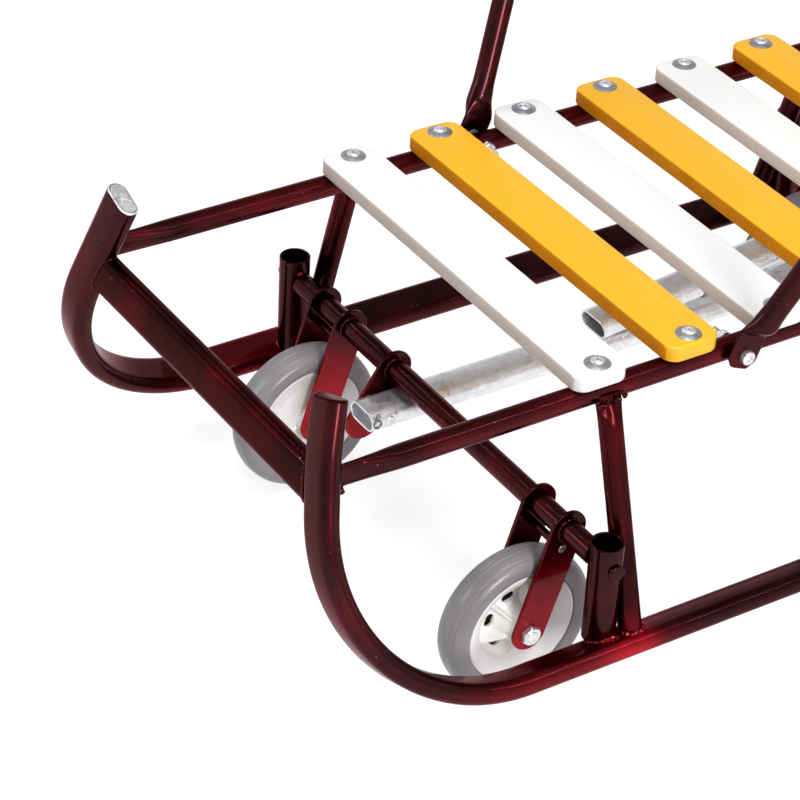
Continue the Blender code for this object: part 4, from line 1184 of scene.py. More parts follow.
@dataclass
class Frame:
    """Rails, crossbars, legs and posts, with their welds."""

    finishes: Finishes
    runners: Runners
    crossbar_z: float = 0.2285
    crossbar_y: float = -0.40467
    crossbar_half: float = 0.1404
    crossbar_long: tuple[float, float, float] = (0.0, 0.2022, 0.9793)
    leg_radius: float = 0.00825
    leg_top_x: float = 0.158
    leg_start: float = 0.0066
    leg_over: float = 0.0005
    post_x: float = 0.199
    post_radius: float = 0.0115
    post_wall: float = 0.0018
    post_top_z: float = 0.1535
    weld_radius: float = 0.0017
    blade_height: float = 0.0086
    blade_width: float = 0.0030
    blade_start_y: float = -0.36
    press_end: float = 0.006
    press_length: float = 0.055
    rail_drops: int = 4
    pinch_width: float = 0.0100
    pinch_depth: float = 0.0046
    pinch_length: float = 0.022
    pinch_end: float = 0.002
    fine_length: float = 0.03
    dent_turn: float = 0.62
    dent_depth: float = 0.0026
    dent_spread: float = 0.30
    dent_below: float = 0.009
    dent_height: float = 0.0055
    spatter_drops: int = 7
    spatter_pitch: float = 0.0036

    def rail_surface(self, side: str) -> OfPoints:
        """A distance function for one rail."""
        center = np.array((SIDES[side] * SIZES.rail_x, 0.0, SIZES.rail_z))
        return lambda points: tube_distance(points, center, ALONG, UP, 0.0, SIZES.tube_radius)

    def tube_piece(self, node: str, body: Surface, beads: list[Surface], dark: bool = False) -> None:
        """One painted tube with its weld beads, named after its solid, in the darker copy of the paint as
        painted shade when dark is set.
        """
        materials = [self.finishes.shaded_dark_paint if dark else self.finishes.paint, self.finishes.weld_paint]
        dress(node, "tube", [body, *beads], materials, "chassis", Slot.PAINT)

    def build(self) -> None:
        """Builds every tube of the frame."""
        self.build_front_crossbar()
        self.build_rear_crossbar()
        for index, side in enumerate(SIDES):
            self.build_rail(side)
            for end in ENDS:
                self.build_leg(end, side, index)
                self.build_post(end, side, index)

    def end_beads(self, start: Array, reach: float, long_axis: Array, section: Array,
                  surface_of: Callable[[str], OfPoints], lumps: int,
                  seeds: dict[str, float]) -> list[Surface]:
        """The beads round both ends of a crossbar.

        Args:
            start: the bar's middle.
            reach: how far to each side the search for the other tube starts.
            long_axis: direction of the section's x.
            section: the bar's outline.
            surface_of: gives the distance function of the tube on one side.
            lumps: ripples along each bead.
            seeds: phase of the ripples on each side.

        Returns:
            One bead for each side.
        """
        return [
            joint_bead(start + reach * SIDES[side] * ACROSS, SIDES[side] * ACROSS, long_axis, section,
                       surface_of(side), self.weld_radius * 0.7, lumps, seed)[0]
            for side, seed in seeds.items()
        ]

    def build_front_crossbar(self) -> None:
        """The flat-oval bar between the noses, with a bead round each end."""
        long_axis = unit(np.array(self.crossbar_long))
        center = np.array((0.0, self.crossbar_y, self.crossbar_z))
        path = segment(center - self.crossbar_half * ACROSS, center + self.crossbar_half * ACROSS, 40)
        beads = self.end_beads(center, 0.11, long_axis, oval_section(16)(0.0), self.runners.tip_surface, 26,
                               {"left": 0.7, "right": 1.7})
        body = hollow_tube(path, long_axis, oval_section(), SIZES.oval_wall)
        self.tube_piece("front_crossbar", body, beads, dark=True)

    def build_rear_crossbar(self) -> None:
        """The round bar between the rails' rear ends."""
        center = np.array((0.0, SIZES.rail_rear_y - SIZES.tube_radius, SIZES.rail_z))
        reach = SIZES.rail_x - SIZES.tube_radius * 0.7
        path = segment(center - reach * ACROSS, center + reach * ACROSS, 30)
        beads = self.end_beads(center, 0.12, UP, circle(SIZES.tube_radius, 48), self.rail_surface, 17, SIDES)
        body = hollow_tube(path, UP, round_section(SIZES.tube_radius), SIZES.tube_wall)
        self.tube_piece("rear_crossbar", body, beads)

    def build_rail(self, side: str) -> None:
        """One rail, with its front end pressed to an upright blade against the nose.

        Along the last stretch its half width falls from the tube's radius to the blade's as a smooth step,
        and its half height grows a little.

        Args:
            side: left or right.
        """
        x, z = SIDES[side] * SIZES.rail_x, SIZES.rail_z
        pressed = np.array((self.blade_height, self.blade_width))
        rope, line = joint_bead(np.array((x, self.blade_start_y, z)), -ALONG, UP, circle(1.0, 48) * pressed,
                                self.runners.tip_surface(side), self.weld_radius * 0.6, 19, SIDES[side] + 2.0)
        front = line[:, 1].mean() - 0.001
        bend = front + 0.06
        path = np.concatenate((segment((x, front, z), (x, bend, z), 30)[:-1],
                               segment((x, bend, z), (x, SIZES.rail_rear_y, z), 50)))
        share = smoothstep(front + self.press_end, front + self.press_length, path[:, 1])[:, None, None]
        outer = circle(1.0, 28) * (pressed + (SIZES.tube_radius - pressed) * share)
        right, up = frames_of(path, UP)
        inner = outer * (1 - SIZES.tube_wall / SIZES.tube_radius)
        body = hollow(sweep(path, right, up, outer), sweep(path, right, up, inner))
        # A little bright red behind the pressed end, partly painted sheen.
        body.thin_and_sheen = 0.10 * smoothstep(front + 0.05, front + 0.12, body.points[:, 1])
        first, pitch = np.array((x, front + 0.004, z - 0.0065)), np.array((0.0, 0.0012, -0.0022))
        drops = [
            blob(first + step * pitch, 0.0008, 0.0008, 0.0021 - 0.0003 * step, 3, step)
            for step in range(self.rail_drops)
        ]
        self.tube_piece(f"seat_rail_{side}", body, [rope, *drops])

    def build_leg(self, end: str, side: str, index: int) -> None:
        """One leg, from the runner up to the rail, its top pinched flat and dented on both sides of a fold.

        Towards the top its half width across the sled falls and its half width along the sled grows, each as
        a smooth step; a bell-shaped dent lies on each side of the outer fold.

        Args:
            end: front or rear.
            side: left or right.
            index: number of the side, which varies the weld.
        """
        foot = self.runners.foot(side) + SIZES.leg_y(end) * ALONG
        head = np.array((SIDES[side] * self.leg_top_x, SIZES.leg_y(end), SIZES.rail_z))
        length = float(np.linalg.norm(head - foot))
        heading = (head - foot) / length
        rope, _ = joint_bead(foot, -heading, ALONG, circle(self.leg_radius, 60),
                             self.runners.sole_surface(side), self.weld_radius * 1.15, 16, index + 0.4,
                             back=0.05)
        fine = length - self.fine_length
        climb = np.concatenate((np.linspace(self.leg_start, fine, 30),
                                np.linspace(fine, length + self.leg_over, 26)[1:]))[:, None]
        path = foot + climb * heading
        pinch = smoothstep(length - self.pinch_length, length - self.pinch_end, climb)
        angle = np.linspace(0.0, 2 * pi, 56, endpoint=False)[None]
        along = (self.leg_radius + (self.pinch_width - self.leg_radius) * pinch) * np.cos(angle)
        across = (self.leg_radius + (self.pinch_depth - self.leg_radius) * pinch) * np.sin(angle)
        right, up = frames_of(path, ALONG)
        outward = SIDES[side] * np.sign(up[0] @ ACROSS)
        depth = 0.0
        for place in (-self.dent_turn, self.dent_turn):
            spread = np.angle(np.exp(1j * (angle - outward * pi / 2 - place))) / self.dent_spread
            height = (climb - length + self.dent_below) / self.dent_height
            depth = depth + self.dent_depth * np.exp(-spread ** 2 - height ** 2)
        across = across * (1 - depth / self.leg_radius)
        body = capped(sweep(path, right, up, np.stack((along, across), axis=-1)))
        rise = (body.points - foot) @ heading
        # Bright red near the leg's top and foot is partly thinner paint and partly painted sheen; on the weld
        # rope it is a painted highlight.
        near_top = smoothstep(length - 0.06, length - 0.012, rise)
        near_foot = 1 - smoothstep(0.012, 0.035, rise)
        body.thin_and_sheen = 0.08 * near_top + 0.20 * near_foot
        rope.thin_and_sheen = 0.5
        spatter = self.spatter(head - 0.0035 * heading, side, index)
        self.tube_piece(f"leg_{end}_{side}", body, [rope, *spatter], dark=True)

    def spatter(self, center: Array, side: str, index: int) -> list[Surface]:
        """Rough drops of weld in a row along the leg's top, nearer the leg towards the row's ends.

        Args:
            center: the row's middle.
            side: left or right.
            index: number of the side, which varies the drops.

        Returns:
            The drops.
        """
        drops = []
        for step in range(self.spatter_drops):
            from_middle = step - self.spatter_drops // 2
            size = 0.0013 + 0.0006 * sin(2.1 * step + index)
            outward = SIDES[side] * (0.0052 - 0.0006 * abs(from_middle))
            place = center + (outward, from_middle * self.spatter_pitch, 0.0012 * cos(3.0 * step))
            drops.append(blob(place, size * 0.5, size * 0.5, size, 5, step + index))
        return drops

    def build_post(self, end: str, side: str, index: int) -> None:
        """One open-topped post on its runner, with a blob of weld at its outer foot and a drop over its rod.

        Args:
            end: front or rear.
            side: left or right.
            index: number of the side, which varies the weld.
        """
        x, y = SIDES[side] * self.post_x, SIZES.pivot_y(end)
        rope, line = joint_bead(np.array((x, y, 0.12)), -UP, ALONG, circle(self.post_radius, 60),
                                self.runners.sole_surface(side), self.weld_radius * 0.9, 22, index + 1.9)
        path = segment((x, y, line[:, 2].mean() - 0.002), (x, y, self.post_top_z), 26)
        body = hollow_tube(path, ALONG, round_section(self.post_radius, 40), self.post_wall)
        outer = line[np.argmax(SIDES[side] * line[:, 0])]
        foot_blob = blob(outer, 0.0022, 0.0012, 0.0026, 4, index, 20)
        inner = np.array((x - SIDES[side] * self.post_radius, y - 0.0020, SIZES.pivot_z + 0.0085))
        drop = blob(inner, 0.0012, 0.0008, 0.0011, 2, index + 1.3, 20)
        # Bright red on the weld: a painted highlight on the foot blob and the drop, and partly on the rope.
        rope.thin_and_sheen, foot_blob.thin_and_sheen, drop.thin_and_sheen = 0.35, 0.9, 0.5
        self.tube_piece(f"pivot_post_{end}_{side}", body, [rope, foot_blob, drop])


@dataclass
class PivotRod:
    """The rod through both posts, with its domed heads."""

    finishes: Finishes
    end: str
    radius: float = 0.004
    head_radius: float = 0.006
    head_height: float = 0.0026
    head_side: float = 0.0016
    seat_x: float = 0.2108

    def build(self) -> None:
        """Turns the rod about its own line: each head is a half ellipse on a short cylinder."""
        turn = np.linspace(0.0, pi / 2, 9)
        rise = self.seat_x + self.head_side + (self.head_height - self.head_side) * np.cos(turn)
        dome = np.column_stack((self.head_radius * np.sin(turn), rise))
        half = np.concatenate((dome, ((self.head_radius, self.seat_x), (self.radius, self.seat_x))))
        profile = np.concatenate((half, half[::-1] * (1.0, -1.0)))
        rod = turned(profile, np.array((0.0, SIZES.pivot_y(self.end), SIZES.pivot_z)), ACROSS, 32)
        dress(f"pivot_rod_{self.end}", "pin", [rod], [self.finishes.paint], "chassis", Slot.ZINC)


@dataclass
class WheelPair:
    """A swing tube with its forks and wheels."""

    finishes: Finishes
    end: str
    half_length: float = 0.1869
    bore: float = 0.0043
    fork_head: float = 0.014
    fork_tail: float = 0.013
    spacer_radius: float = 0.003
    spacer_drop: float = 0.0145
    bolt_hole: float = 0.0043
    plate_x: float = -0.0605
    plate_lean: float = radians(33.0)
    plate_reach: float = 0.0445
    plate_tail: float = 0.0145
    pin_radius: float = 0.004
    pin_arm: float = 0.029
    pin_lean: float = radians(48.0)
    pin_end_x: float = -0.0282
    wall: float = 0.0015
    lip: float = 0.0005
    bush: float = 0.014
    bead_radius: float = 0.0010
    inner_hole: float = 0.0030
    right_sheen: float = 1.7
    rivet_proud: float = 0.0008
    bolt_face: float = 0.0193
    bolt_radius: float = 0.004
    hex_flats: float = 0.013
    hex_share: float = 0.78
    hex_chamfer: float = 0.0012

    @property
    def body(self) -> str:
        """The body that swings."""
        return f"{self.end}_swing"

    @property
    def pivot(self) -> Array:
        """A point of the pivot line."""
        return np.array((0.0, SIZES.pivot_y(self.end), SIZES.pivot_z))

    def build(self) -> None:
        """Builds the swing tube, its plates and both wheels."""
        self.build_swing_tube()
        self.build_link_plate()
        for side in SIDES:
            self.build_fork(side)
            Wheel(self.finishes, self.end, side).build()
            self.build_wheel_bolt(side)

    def build_swing_tube(self) -> None:
        """The tube that turns on the rod: a long ring profile, with a bush in each end."""
        outer, half = SIZES.swing_radius, self.half_length
        skin = np.column_stack((np.full(60, outer), np.linspace(-half + self.lip, half - self.lip, 60)))
        inside = ((self.bore, half), (self.bore, half - self.bush), (outer - self.wall, half - self.bush))
        end = np.array(((outer - self.lip, half), *inside))
        section = np.concatenate((skin, end, end[::-1] * (1.0, -1.0)))
        tube = turned(section, self.pivot, ACROSS, 32, closed=True)
        faces = [
            SIDES[side] * SIZES.wheel_x + sign * SIZES.fork_half_span + sign * SIZES.fork_thickness / 2
            for side in SIDES for sign in (1.0, -1.0)
        ]
        faces += [self.plate_x + SIZES.fork_thickness / 2, self.plate_x - SIZES.fork_thickness / 2]
        beads = [
            bead(ring_path(self.pivot + x * ACROSS, outer * ALONG, outer * UP), self.bead_radius, 17, seed)
            for seed, x in zip(np.arange(len(faces)) * 1.3, faces)
        ]
        dress(f"swing_tube_{self.end}", "skin", [tube, *beads],
              [self.finishes.paint, self.finishes.weld_paint], self.body, Slot.PAINT)

    def strap_axes(self, lean: float) -> tuple[Array, Array, Array]:
        """A strap's own axes: down its lean, square to that, and across the sled."""
        down = np.array((0.0, -sin(lean), -cos(lean)))
        return down, np.cross(ACROSS, down), ACROSS

    def strap(self, x: float, lean: float, tail: float, length: float, tail_hole: float) -> list[Surface]:
        """A strap that hangs from the swing tube.

        Args:
            x: its place across the sled.
            lean: how far it leans forward.
            tail: radius of its far end.
            length: from hole to hole.
            tail_hole: radius of its far hole.

        Returns:
            Its two halves, in the sled's axes.
        """
        halves = strap_plate(self.fork_head, tail, length, SIZES.swing_radius + SIZES.gap, tail_hole,
                             SIZES.fork_thickness)
        return [move(half, self.pivot + x * ACROSS, *self.strap_axes(lean)) for half in halves]

    def build_fork(self, side: str) -> None:
        """The two plates that hold one wheel, with the spacer and its rivet on the outer one.

        Args:
            side: left or right; the right plates carry stronger painted sheen.
        """
        down, _, _ = self.strap_axes(SIZES.fork_lean)
        length = (SIZES.pivot_z - SIZES.wheel_radius) / cos(SIZES.fork_lean)
        inward, radius = -SIDES[side] * ACROSS, self.spacer_radius
        for layer, sign in (("outer", 1.0), ("inner", -1.0)):
            x = SIDES[side] * (SIZES.wheel_x + sign * SIZES.fork_half_span)
            surfaces = self.strap(x, SIZES.fork_lean, self.fork_tail, length, self.bolt_hole)
            for half in surfaces:
                # The right plates get stronger painted sheen.
                half.thin_and_sheen = half.thin_and_sheen * (1.0 if side == "left" else self.right_sheen)
            if layer == "outer":
                reach = 2 * SIZES.fork_half_span - SIZES.fork_thickness / 2 - SIZES.gap
                proud = -SIZES.fork_thickness / 2 - self.rivet_proud
                spacer = np.array(((radius, 0.0), (radius, reach), (0.0, reach)))
                rivet = np.array(((0.0, proud), (radius - 0.0006, proud), (radius, proud + 0.0005),
                                  (radius, 0.0)))
                start = self.pivot + x * ACROSS + self.spacer_drop * down
                surfaces += [turned(spacer, start, inward, 24), turned(rivet, start, inward, 24, slot=1)]
            dress(f"fork_{layer}_{self.end}_{side}", "plate", surfaces,
                  [self.finishes.fork_paint, self.finishes.wire], self.body, Slot.PAINT)

    def build_link_plate(self) -> None:
        """The arm that carries the link bar on its pin."""
        surfaces = self.strap(self.plate_x, self.plate_lean, self.plate_tail, self.plate_reach,
                              self.inner_hole)
        pin_way, _, _ = self.strap_axes(self.pin_lean)
        reach, radius, chamfer = self.pin_end_x - self.plate_x, self.pin_radius, 0.0005
        profile = ((0.0, 0.0), (radius, 0.0), (radius, reach - chamfer), (radius - chamfer, reach),
                   (0.0, reach))
        start = self.pivot + self.plate_x * ACROSS + self.pin_arm * pin_way
        surfaces.append(turned(np.array(profile), start, ACROSS, 28, slot=1))
        dress(f"link_plate_{self.end}", "arm", surfaces, [self.finishes.fork_paint, self.finishes.screw_zinc],
              self.body, Slot.PAINT)

    def build_wheel_bolt(self, side: str) -> None:
        """The bolt through a fork: a hexagon head with a dome on it outside, a nut and the bolt's end inside.

        Each end is a hexagon with a dome over it, whose height rises as the sine of an angle while its radius
        falls as the cosine.

        Args:
            side: left or right.
        """
        center, face, sunk = SIZES.axle(self.end, side), self.bolt_face, 0.0002
        head_height, nut_height = 0.0053, 0.0065
        ends = ((1.0, head_height, head_height - head_height * self.hex_share, 0.0046),
                (-1.0, nut_height, 0.002, 0.0036))
        surfaces = []
        for sign, height, rise, radius in ends:
            way = sign * SIDES[side] * ACROSS
            top = height * self.hex_share
            dome = np.stack([
                raised(circle(radius * np.cos(turn), 48), top - sunk + (rise + sunk) * np.sin(turn))
                for turn in np.linspace(0.15, 1.0, 8) * pi / 2
            ])
            for rings in (hexagon_head(self.hex_flats, top, self.hex_chamfer), dome):
                surfaces.append(capped(placed(rings, center + face * way, ALONG, np.cross(way, ALONG), way)))
        shank = np.array(((0.0, -face), (self.bolt_radius, -face), (self.bolt_radius, face), (0.0, face)))
        surfaces.append(turned(shank, center, ACROSS, 24))
        dress(f"wheel_bolt_{self.end}_{side}", "hex", surfaces, [self.finishes.screw_zinc], self.body,
              Slot.ZINC, sharp=25.0)


@dataclass
class Wheel:
    """One wheel: a white spoked hub and a grey tyre."""

    finishes: Finishes
    end: str
    side: str
    hub_radius: float = 0.0424
    hub_width: float = 0.0314
    rim_width: float = 0.021
    boss_radius: float = 0.011
    dish_radius: float = 0.030
    tyre_width: float = 0.026
    holes: int = 6
    rib_turn: float = radians(75.0)
    spokes: int = 240
    hole_at: float = 0.0205
    outer_floor: float = -0.0015
    inner_floor: float = 0.0030
    hole_length: float = 0.0105
    hole_width: float = 0.0066
    bore: float = 0.0043
    boss_edge: float = 0.0012
    rib_half: float = 0.0005
    rib_root: float = 0.0017
    crown_share: float = 0.62
    crown_power: float = 2.6
    back_heights: tuple[float, float, float, float] = (-0.0072, -0.0082, -0.0085, -0.0094)

    @property
    def body(self) -> str:
        """The body that spins."""
        return f"wheel_{self.end}_{self.side}"

    def build(self) -> None:
        """Builds the tyre and the hub."""
        self.build_tyre()
        self.build_hub()

    def build_tyre(self) -> None:
        """The tyre's ring: a crown with a fine parting ridge, round shoulders with a groove, and a flat bead.

        The crown falls from the ridge as a quarter superellipse over half the tyre's width.
        """
        half = self.tyre_width / 2
        inner = self.hub_radius + SIZES.gap
        height = SIZES.wheel_radius - inner
        across = np.array((0.0, 0.022, 0.036, 0.10, 0.20, 0.32, 0.44, 0.54, 0.61,
                           0.635, 0.66, 0.685, 0.71, 0.78, 0.85, 0.91, 0.955, 0.985, 1.0))
        fall = height * self.crown_share * (1 - (1 - across ** self.crown_power) ** (1 / self.crown_power))
        radius = SIZES.wheel_radius - fall
        ridge, beside, groove = slice(0, 2), slice(2, None), slice(9, 12)
        radius[ridge] += (0.0, -0.0001)
        radius[beside] -= 0.0003
        radius[groove] -= (0.00025, 0.00045, 0.00025)
        wall = ((inner + height * 0.24, half * 0.985), (inner + height * 0.10, half * 0.93),
                (inner + 0.0004, half * 0.88), (inner, half * 0.84))
        side = np.concatenate((np.column_stack((radius, half * across)), wall))
        profile = np.concatenate((side[::-1], side[1:] * (1.0, -1.0)))
        tyre = turned(profile, SIZES.axle(self.end, self.side), ACROSS, 120, closed=True)
        dress(f"tyre_{self.end}_{self.side}", "ring", [tyre], [self.finishes.rubber], self.body, Slot.RUBBER,
              sharp=60.0)

    def face_heights(self, radii: Array, angle: Array, knots: Profile, ribs: Profile) -> Array:
        """Heights of one face of the hub: its section, raised to the ribs' height beside a spoke.

        Args:
            radii: radii of the face's rings.
            angle: angles round the hub.
            knots: the section, as radii and heights.
            ribs: the ribs' top, in the same way.

        Returns:
            Heights by ring and angle.
        """
        section = np.interp(radii, *np.array(knots).T)[:, None]
        pitch = 2 * pi / self.holes
        from_rib = (angle - self.rib_turn + pitch / 2) % pitch - pitch / 2
        share = 1 - smoothstep(self.rib_half, self.rib_root, np.abs(radii[:, None] * np.sin(from_rib)[None]))
        rib = np.interp(radii, *np.array(ribs).T)[:, None]
        ribbed = (radii > self.boss_radius) & (radii < self.dish_radius)
        return np.where(ribbed[:, None], np.maximum(section, section + (rib - section) * share), section)

    def build_hub(self) -> None:
        """The hub: a lipped rim, a broad sloping ring, a web with ribs and oval holes, and a boss.

        The pockets are deep on the outer face and shallow on the inner one.
        """
        boss, dish, rim = self.boss_radius, self.dish_radius, self.hub_radius
        radii = np.concatenate((
            (self.bore, boss - self.boss_edge, boss - 0.0004, boss, boss + 0.0006),
            np.linspace(boss + 0.0014, dish - 0.0016, 18),
            (dish - 0.0008, dish, dish + 0.0010, dish + 0.004),
            (rim - 0.0048, rim - 0.0036, rim - 0.0028, rim - 0.0020, rim - 0.0008, rim - 0.0001),
        ))
        top, edge, outer, inner = self.hub_width / 2, self.rim_width / 2, self.outer_floor, self.inner_floor
        middle = ((self.bore, top), (boss - self.boss_edge, top), (boss, top - self.boss_edge))
        lip = ((rim - 0.0048, edge - 0.0011), (rim - 0.0036, edge - 0.0009), (rim - 0.0028, edge - 0.0001),
               (rim - 0.0008, edge), (rim - 0.0001, edge - 0.0006))
        deep = ((boss + 0.0014, 0.0100), (boss + 0.0045, 0.0022), (boss + 0.0070, outer + 0.0006),
                (dish - 0.0036, outer), (dish - 0.0014, outer + 0.0018), (dish, 0.0036),
                (dish + 0.0010, 0.0046))
        shallow = ((boss + 0.0014, inner + 0.0016), (boss + 0.0034, inner), (dish - 0.0036, inner),
                   (dish, inner + 0.0030), (dish + 0.0010, 0.0085))
        angle = np.linspace(0.0, 2 * pi, self.spokes, endpoint=False)
        front = self.face_heights(radii, angle, middle + deep + lip, ((boss, 0.0128), (dish, 0.0040)))
        rear = self.face_heights(radii, angle, middle + shallow + lip, ((boss, 0.0110), (dish, 0.0078)))
        center = SIZES.axle(self.end, self.side)
        outward = SIDES[self.side] * ACROSS
        flat = center + radii[:, None, None] * (polar(angle) @ (ALONG, UP))[None]
        faces = flat + front[..., None] * outward, (flat - rear[..., None] * outward)[::-1]
        hub = dress(f"hub_{self.end}_{self.side}", "disc", [grid(np.concatenate(faces), loop_rows=True)],
                    [self.finishes.plastic], self.body, Slot.PLASTIC, sharp=50.0)
        carve(hub, self.hole_cutters(center, outward), sharp=50.0)
        self.build_back(center, outward)

    def build_back(self, center: Array, outward: Array) -> None:
        """The disc that closes the hub's inner side: a shallow cone whose inside is dark as painted shade,
        seen through the holes.

        Args:
            center: the wheel's middle.
            outward: direction away from the sled.
        """
        dark, step, slope, face = self.back_heights
        boss, dish = self.boss_radius - 0.0010, self.dish_radius + 0.0016
        inside = ((boss, dark), (dish, dark))
        outside = ((dish, dark), (dish, step), (self.dish_radius, slope), (self.boss_radius + 0.0030, face),
                   (boss, face), (boss, dark))
        # Slot 1, the inside, takes the dark finish as painted shade.
        faces = [turned(np.array(profile), center, outward, 120, slot=slot)
                 for profile, slot in ((inside, 1), (outside, 0))]
        make_piece(f"hub_{self.end}_{self.side}_back", faces, [self.finishes.plastic, self.finishes.hollow],
                   Seat(self.body, Slot.PLASTIC), sharp=50.0)

    def hole_cutters(self, center: Array, outward: Array) -> list[Surface]:
        """Flat-oval rods through the web, longer round the wheel than outwards.

        Args:
            center: the wheel's middle.
            outward: direction away from the sled.

        Returns:
            One closed rod for each hole.
        """
        cutters = []
        section = oval(self.hole_length, self.hole_width, 10)
        for index in range(self.holes):
            angle = self.rib_turn + 2 * pi * (index + 0.5) / self.holes
            way = np.array((0.0, cos(angle), sin(angle)))
            axes = center + self.hole_at * way, np.cross(ACROSS, way), way, outward
            cutters.append(capped(np.stack([placed(raised(section, x), *axes) for x in (-0.0065, 0.02)])))
        return cutters


@dataclass
class LiftLinkage:
    """The galvanised link bar between the forks and the lever on top of it."""

    finishes: Finishes
    x: float = -0.0437
    bar_front: float = -0.253051
    bar_rear: float = 0.243449
    bar_z: float = 0.116295
    lever_front: float = -0.0545
    lever_rear: float = 0.400
    lever_z: float = 0.13175
    lever_rise: float = radians(6.4)
    wire_radius: float = 0.0006
    ring_radius: float = 0.0030
    coil_radius: float = 0.0013
    coil_turns: int = 4
    wire_places: tuple[float, float] = (0.036, 0.0385)

    def lever_at(self, y: float) -> Array:
        """The lever's middle line at one place along the sled."""
        return np.array((self.x, y, self.lever_z + (y - self.lever_front) * tan(self.lever_rise)))

    def build(self) -> None:
        """Builds the bar and the lever, both open flat-oval tubes that lie flat."""
        bar_start, bar_end = ((self.x, y, self.bar_z) for y in (self.bar_front, self.bar_rear))
        for name, start, end, wires in (
            ("link_bar", bar_start, bar_end, self.bar_wires()),
            ("lift_lever", self.lever_at(self.lever_front), self.lever_at(self.lever_rear),
             self.lever_wires()),
        ):
            tube = hollow_tube(segment(start, end, 50), ACROSS, oval_section(), SIZES.oval_wall)
            dress(name, "tube", [tube, *wires], [self.finishes.zinc, self.finishes.wire], "link", Slot.ZINC)

    def bar_wires(self) -> list[Surface]:
        """A split ring at the bar's front end and a short coil of wire above it."""
        face = self.x + SIZES.oval_width / 2 + self.wire_radius
        ring = np.array((face, self.bar_front + 0.0040, self.bar_z + 0.0010))
        share = np.linspace(0.0, 1.0, 90)[:, None]
        turn = 2 * pi * self.coil_turns * share
        start, climb = ring + (0.0, -0.0008, 0.0034), np.array((0.0, 0.0010, 0.0050))
        coil = start + share * climb + self.coil_radius * (np.cos(turn) * ALONG + np.sin(turn) * ACROSS)
        right, up = frames_of(coil, UP)
        spring = capped(sweep(coil, right, up, circle(self.wire_radius * 0.6, 8)), slot=1)
        round_ring = ring_path(ring, self.ring_radius * ALONG, self.ring_radius * UP, 40)
        return [bead(round_ring, self.wire_radius, 0, 0.0), spring]

    def lever_wires(self) -> list[Surface]:
        """Two turns of wire round the lever."""
        section = raised(oval_section(14)(-self.wire_radius), 0.0)
        return [
            bead(placed(section, self.lever_at(y), ACROSS, UP, ALONG), self.wire_radius, 0, 0.0)
            for y in self.wire_places
        ]


def plank(half_length: float, half_width: float, corner: float, edge: float, bare: bool) -> Surface:
    """A board of the slats' thickness, with round corners and a rounded edge.

    Its rings go from the lower face over the edge to the upper face. Each is a rounded rectangle of four
    quarter circles, at an inset that follows a quarter circle too, and each face shrinks to the nearest
    points of the board's middle line.

    Args:
        half_length: half its length along x.
        half_width: half its width along y.
        corner: radius of its corners.
        edge: radius of its rounded edge.
        bare: whether the long edges take material slot 1, which shows the plies on white slats and a darker
            yellow as painted shade on yellow ones.

    Returns:
        The board in its own axes.
    """
    x, y, half = half_length - corner, half_width - corner, SIZES.slat_thickness / 2
    turn = np.linspace(0.0, pi / 2, 5)
    insets, heights = edge * (1 - np.sin(turn)), edge * (1 - np.cos(turn)) - half
    rings = []
    for inset, height in zip((*insets, *insets[::-1]), (*heights, *-heights[::-1])):
        quarter = (corner - inset) * polar(np.linspace(0.0, pi / 2, 9))
        corners = []
        for spot in ((x, y), (-x, y), (-x, -y), (x, -y)):
            corners.append(quarter + spot)
            quarter = np.column_stack((-quarter[:, 1], quarter[:, 0]))
        rings.append(raised(np.concatenate(corners), height))
    reach = half_length - half_width
    spine = rings[0][:, :2].clip((-reach, 0.0), (reach, 0.0))
    surface = grid(np.stack([raised(spine, -half), *rings, raised(spine, half)]))
    if bare:
        _, y, z = np.abs(surface.points[surface.faces].mean(axis=1)).T
        surface.slot = np.where((y > half_width - edge * 0.3) & (z < half - edge * 0.45), 1, 0)
    return surface


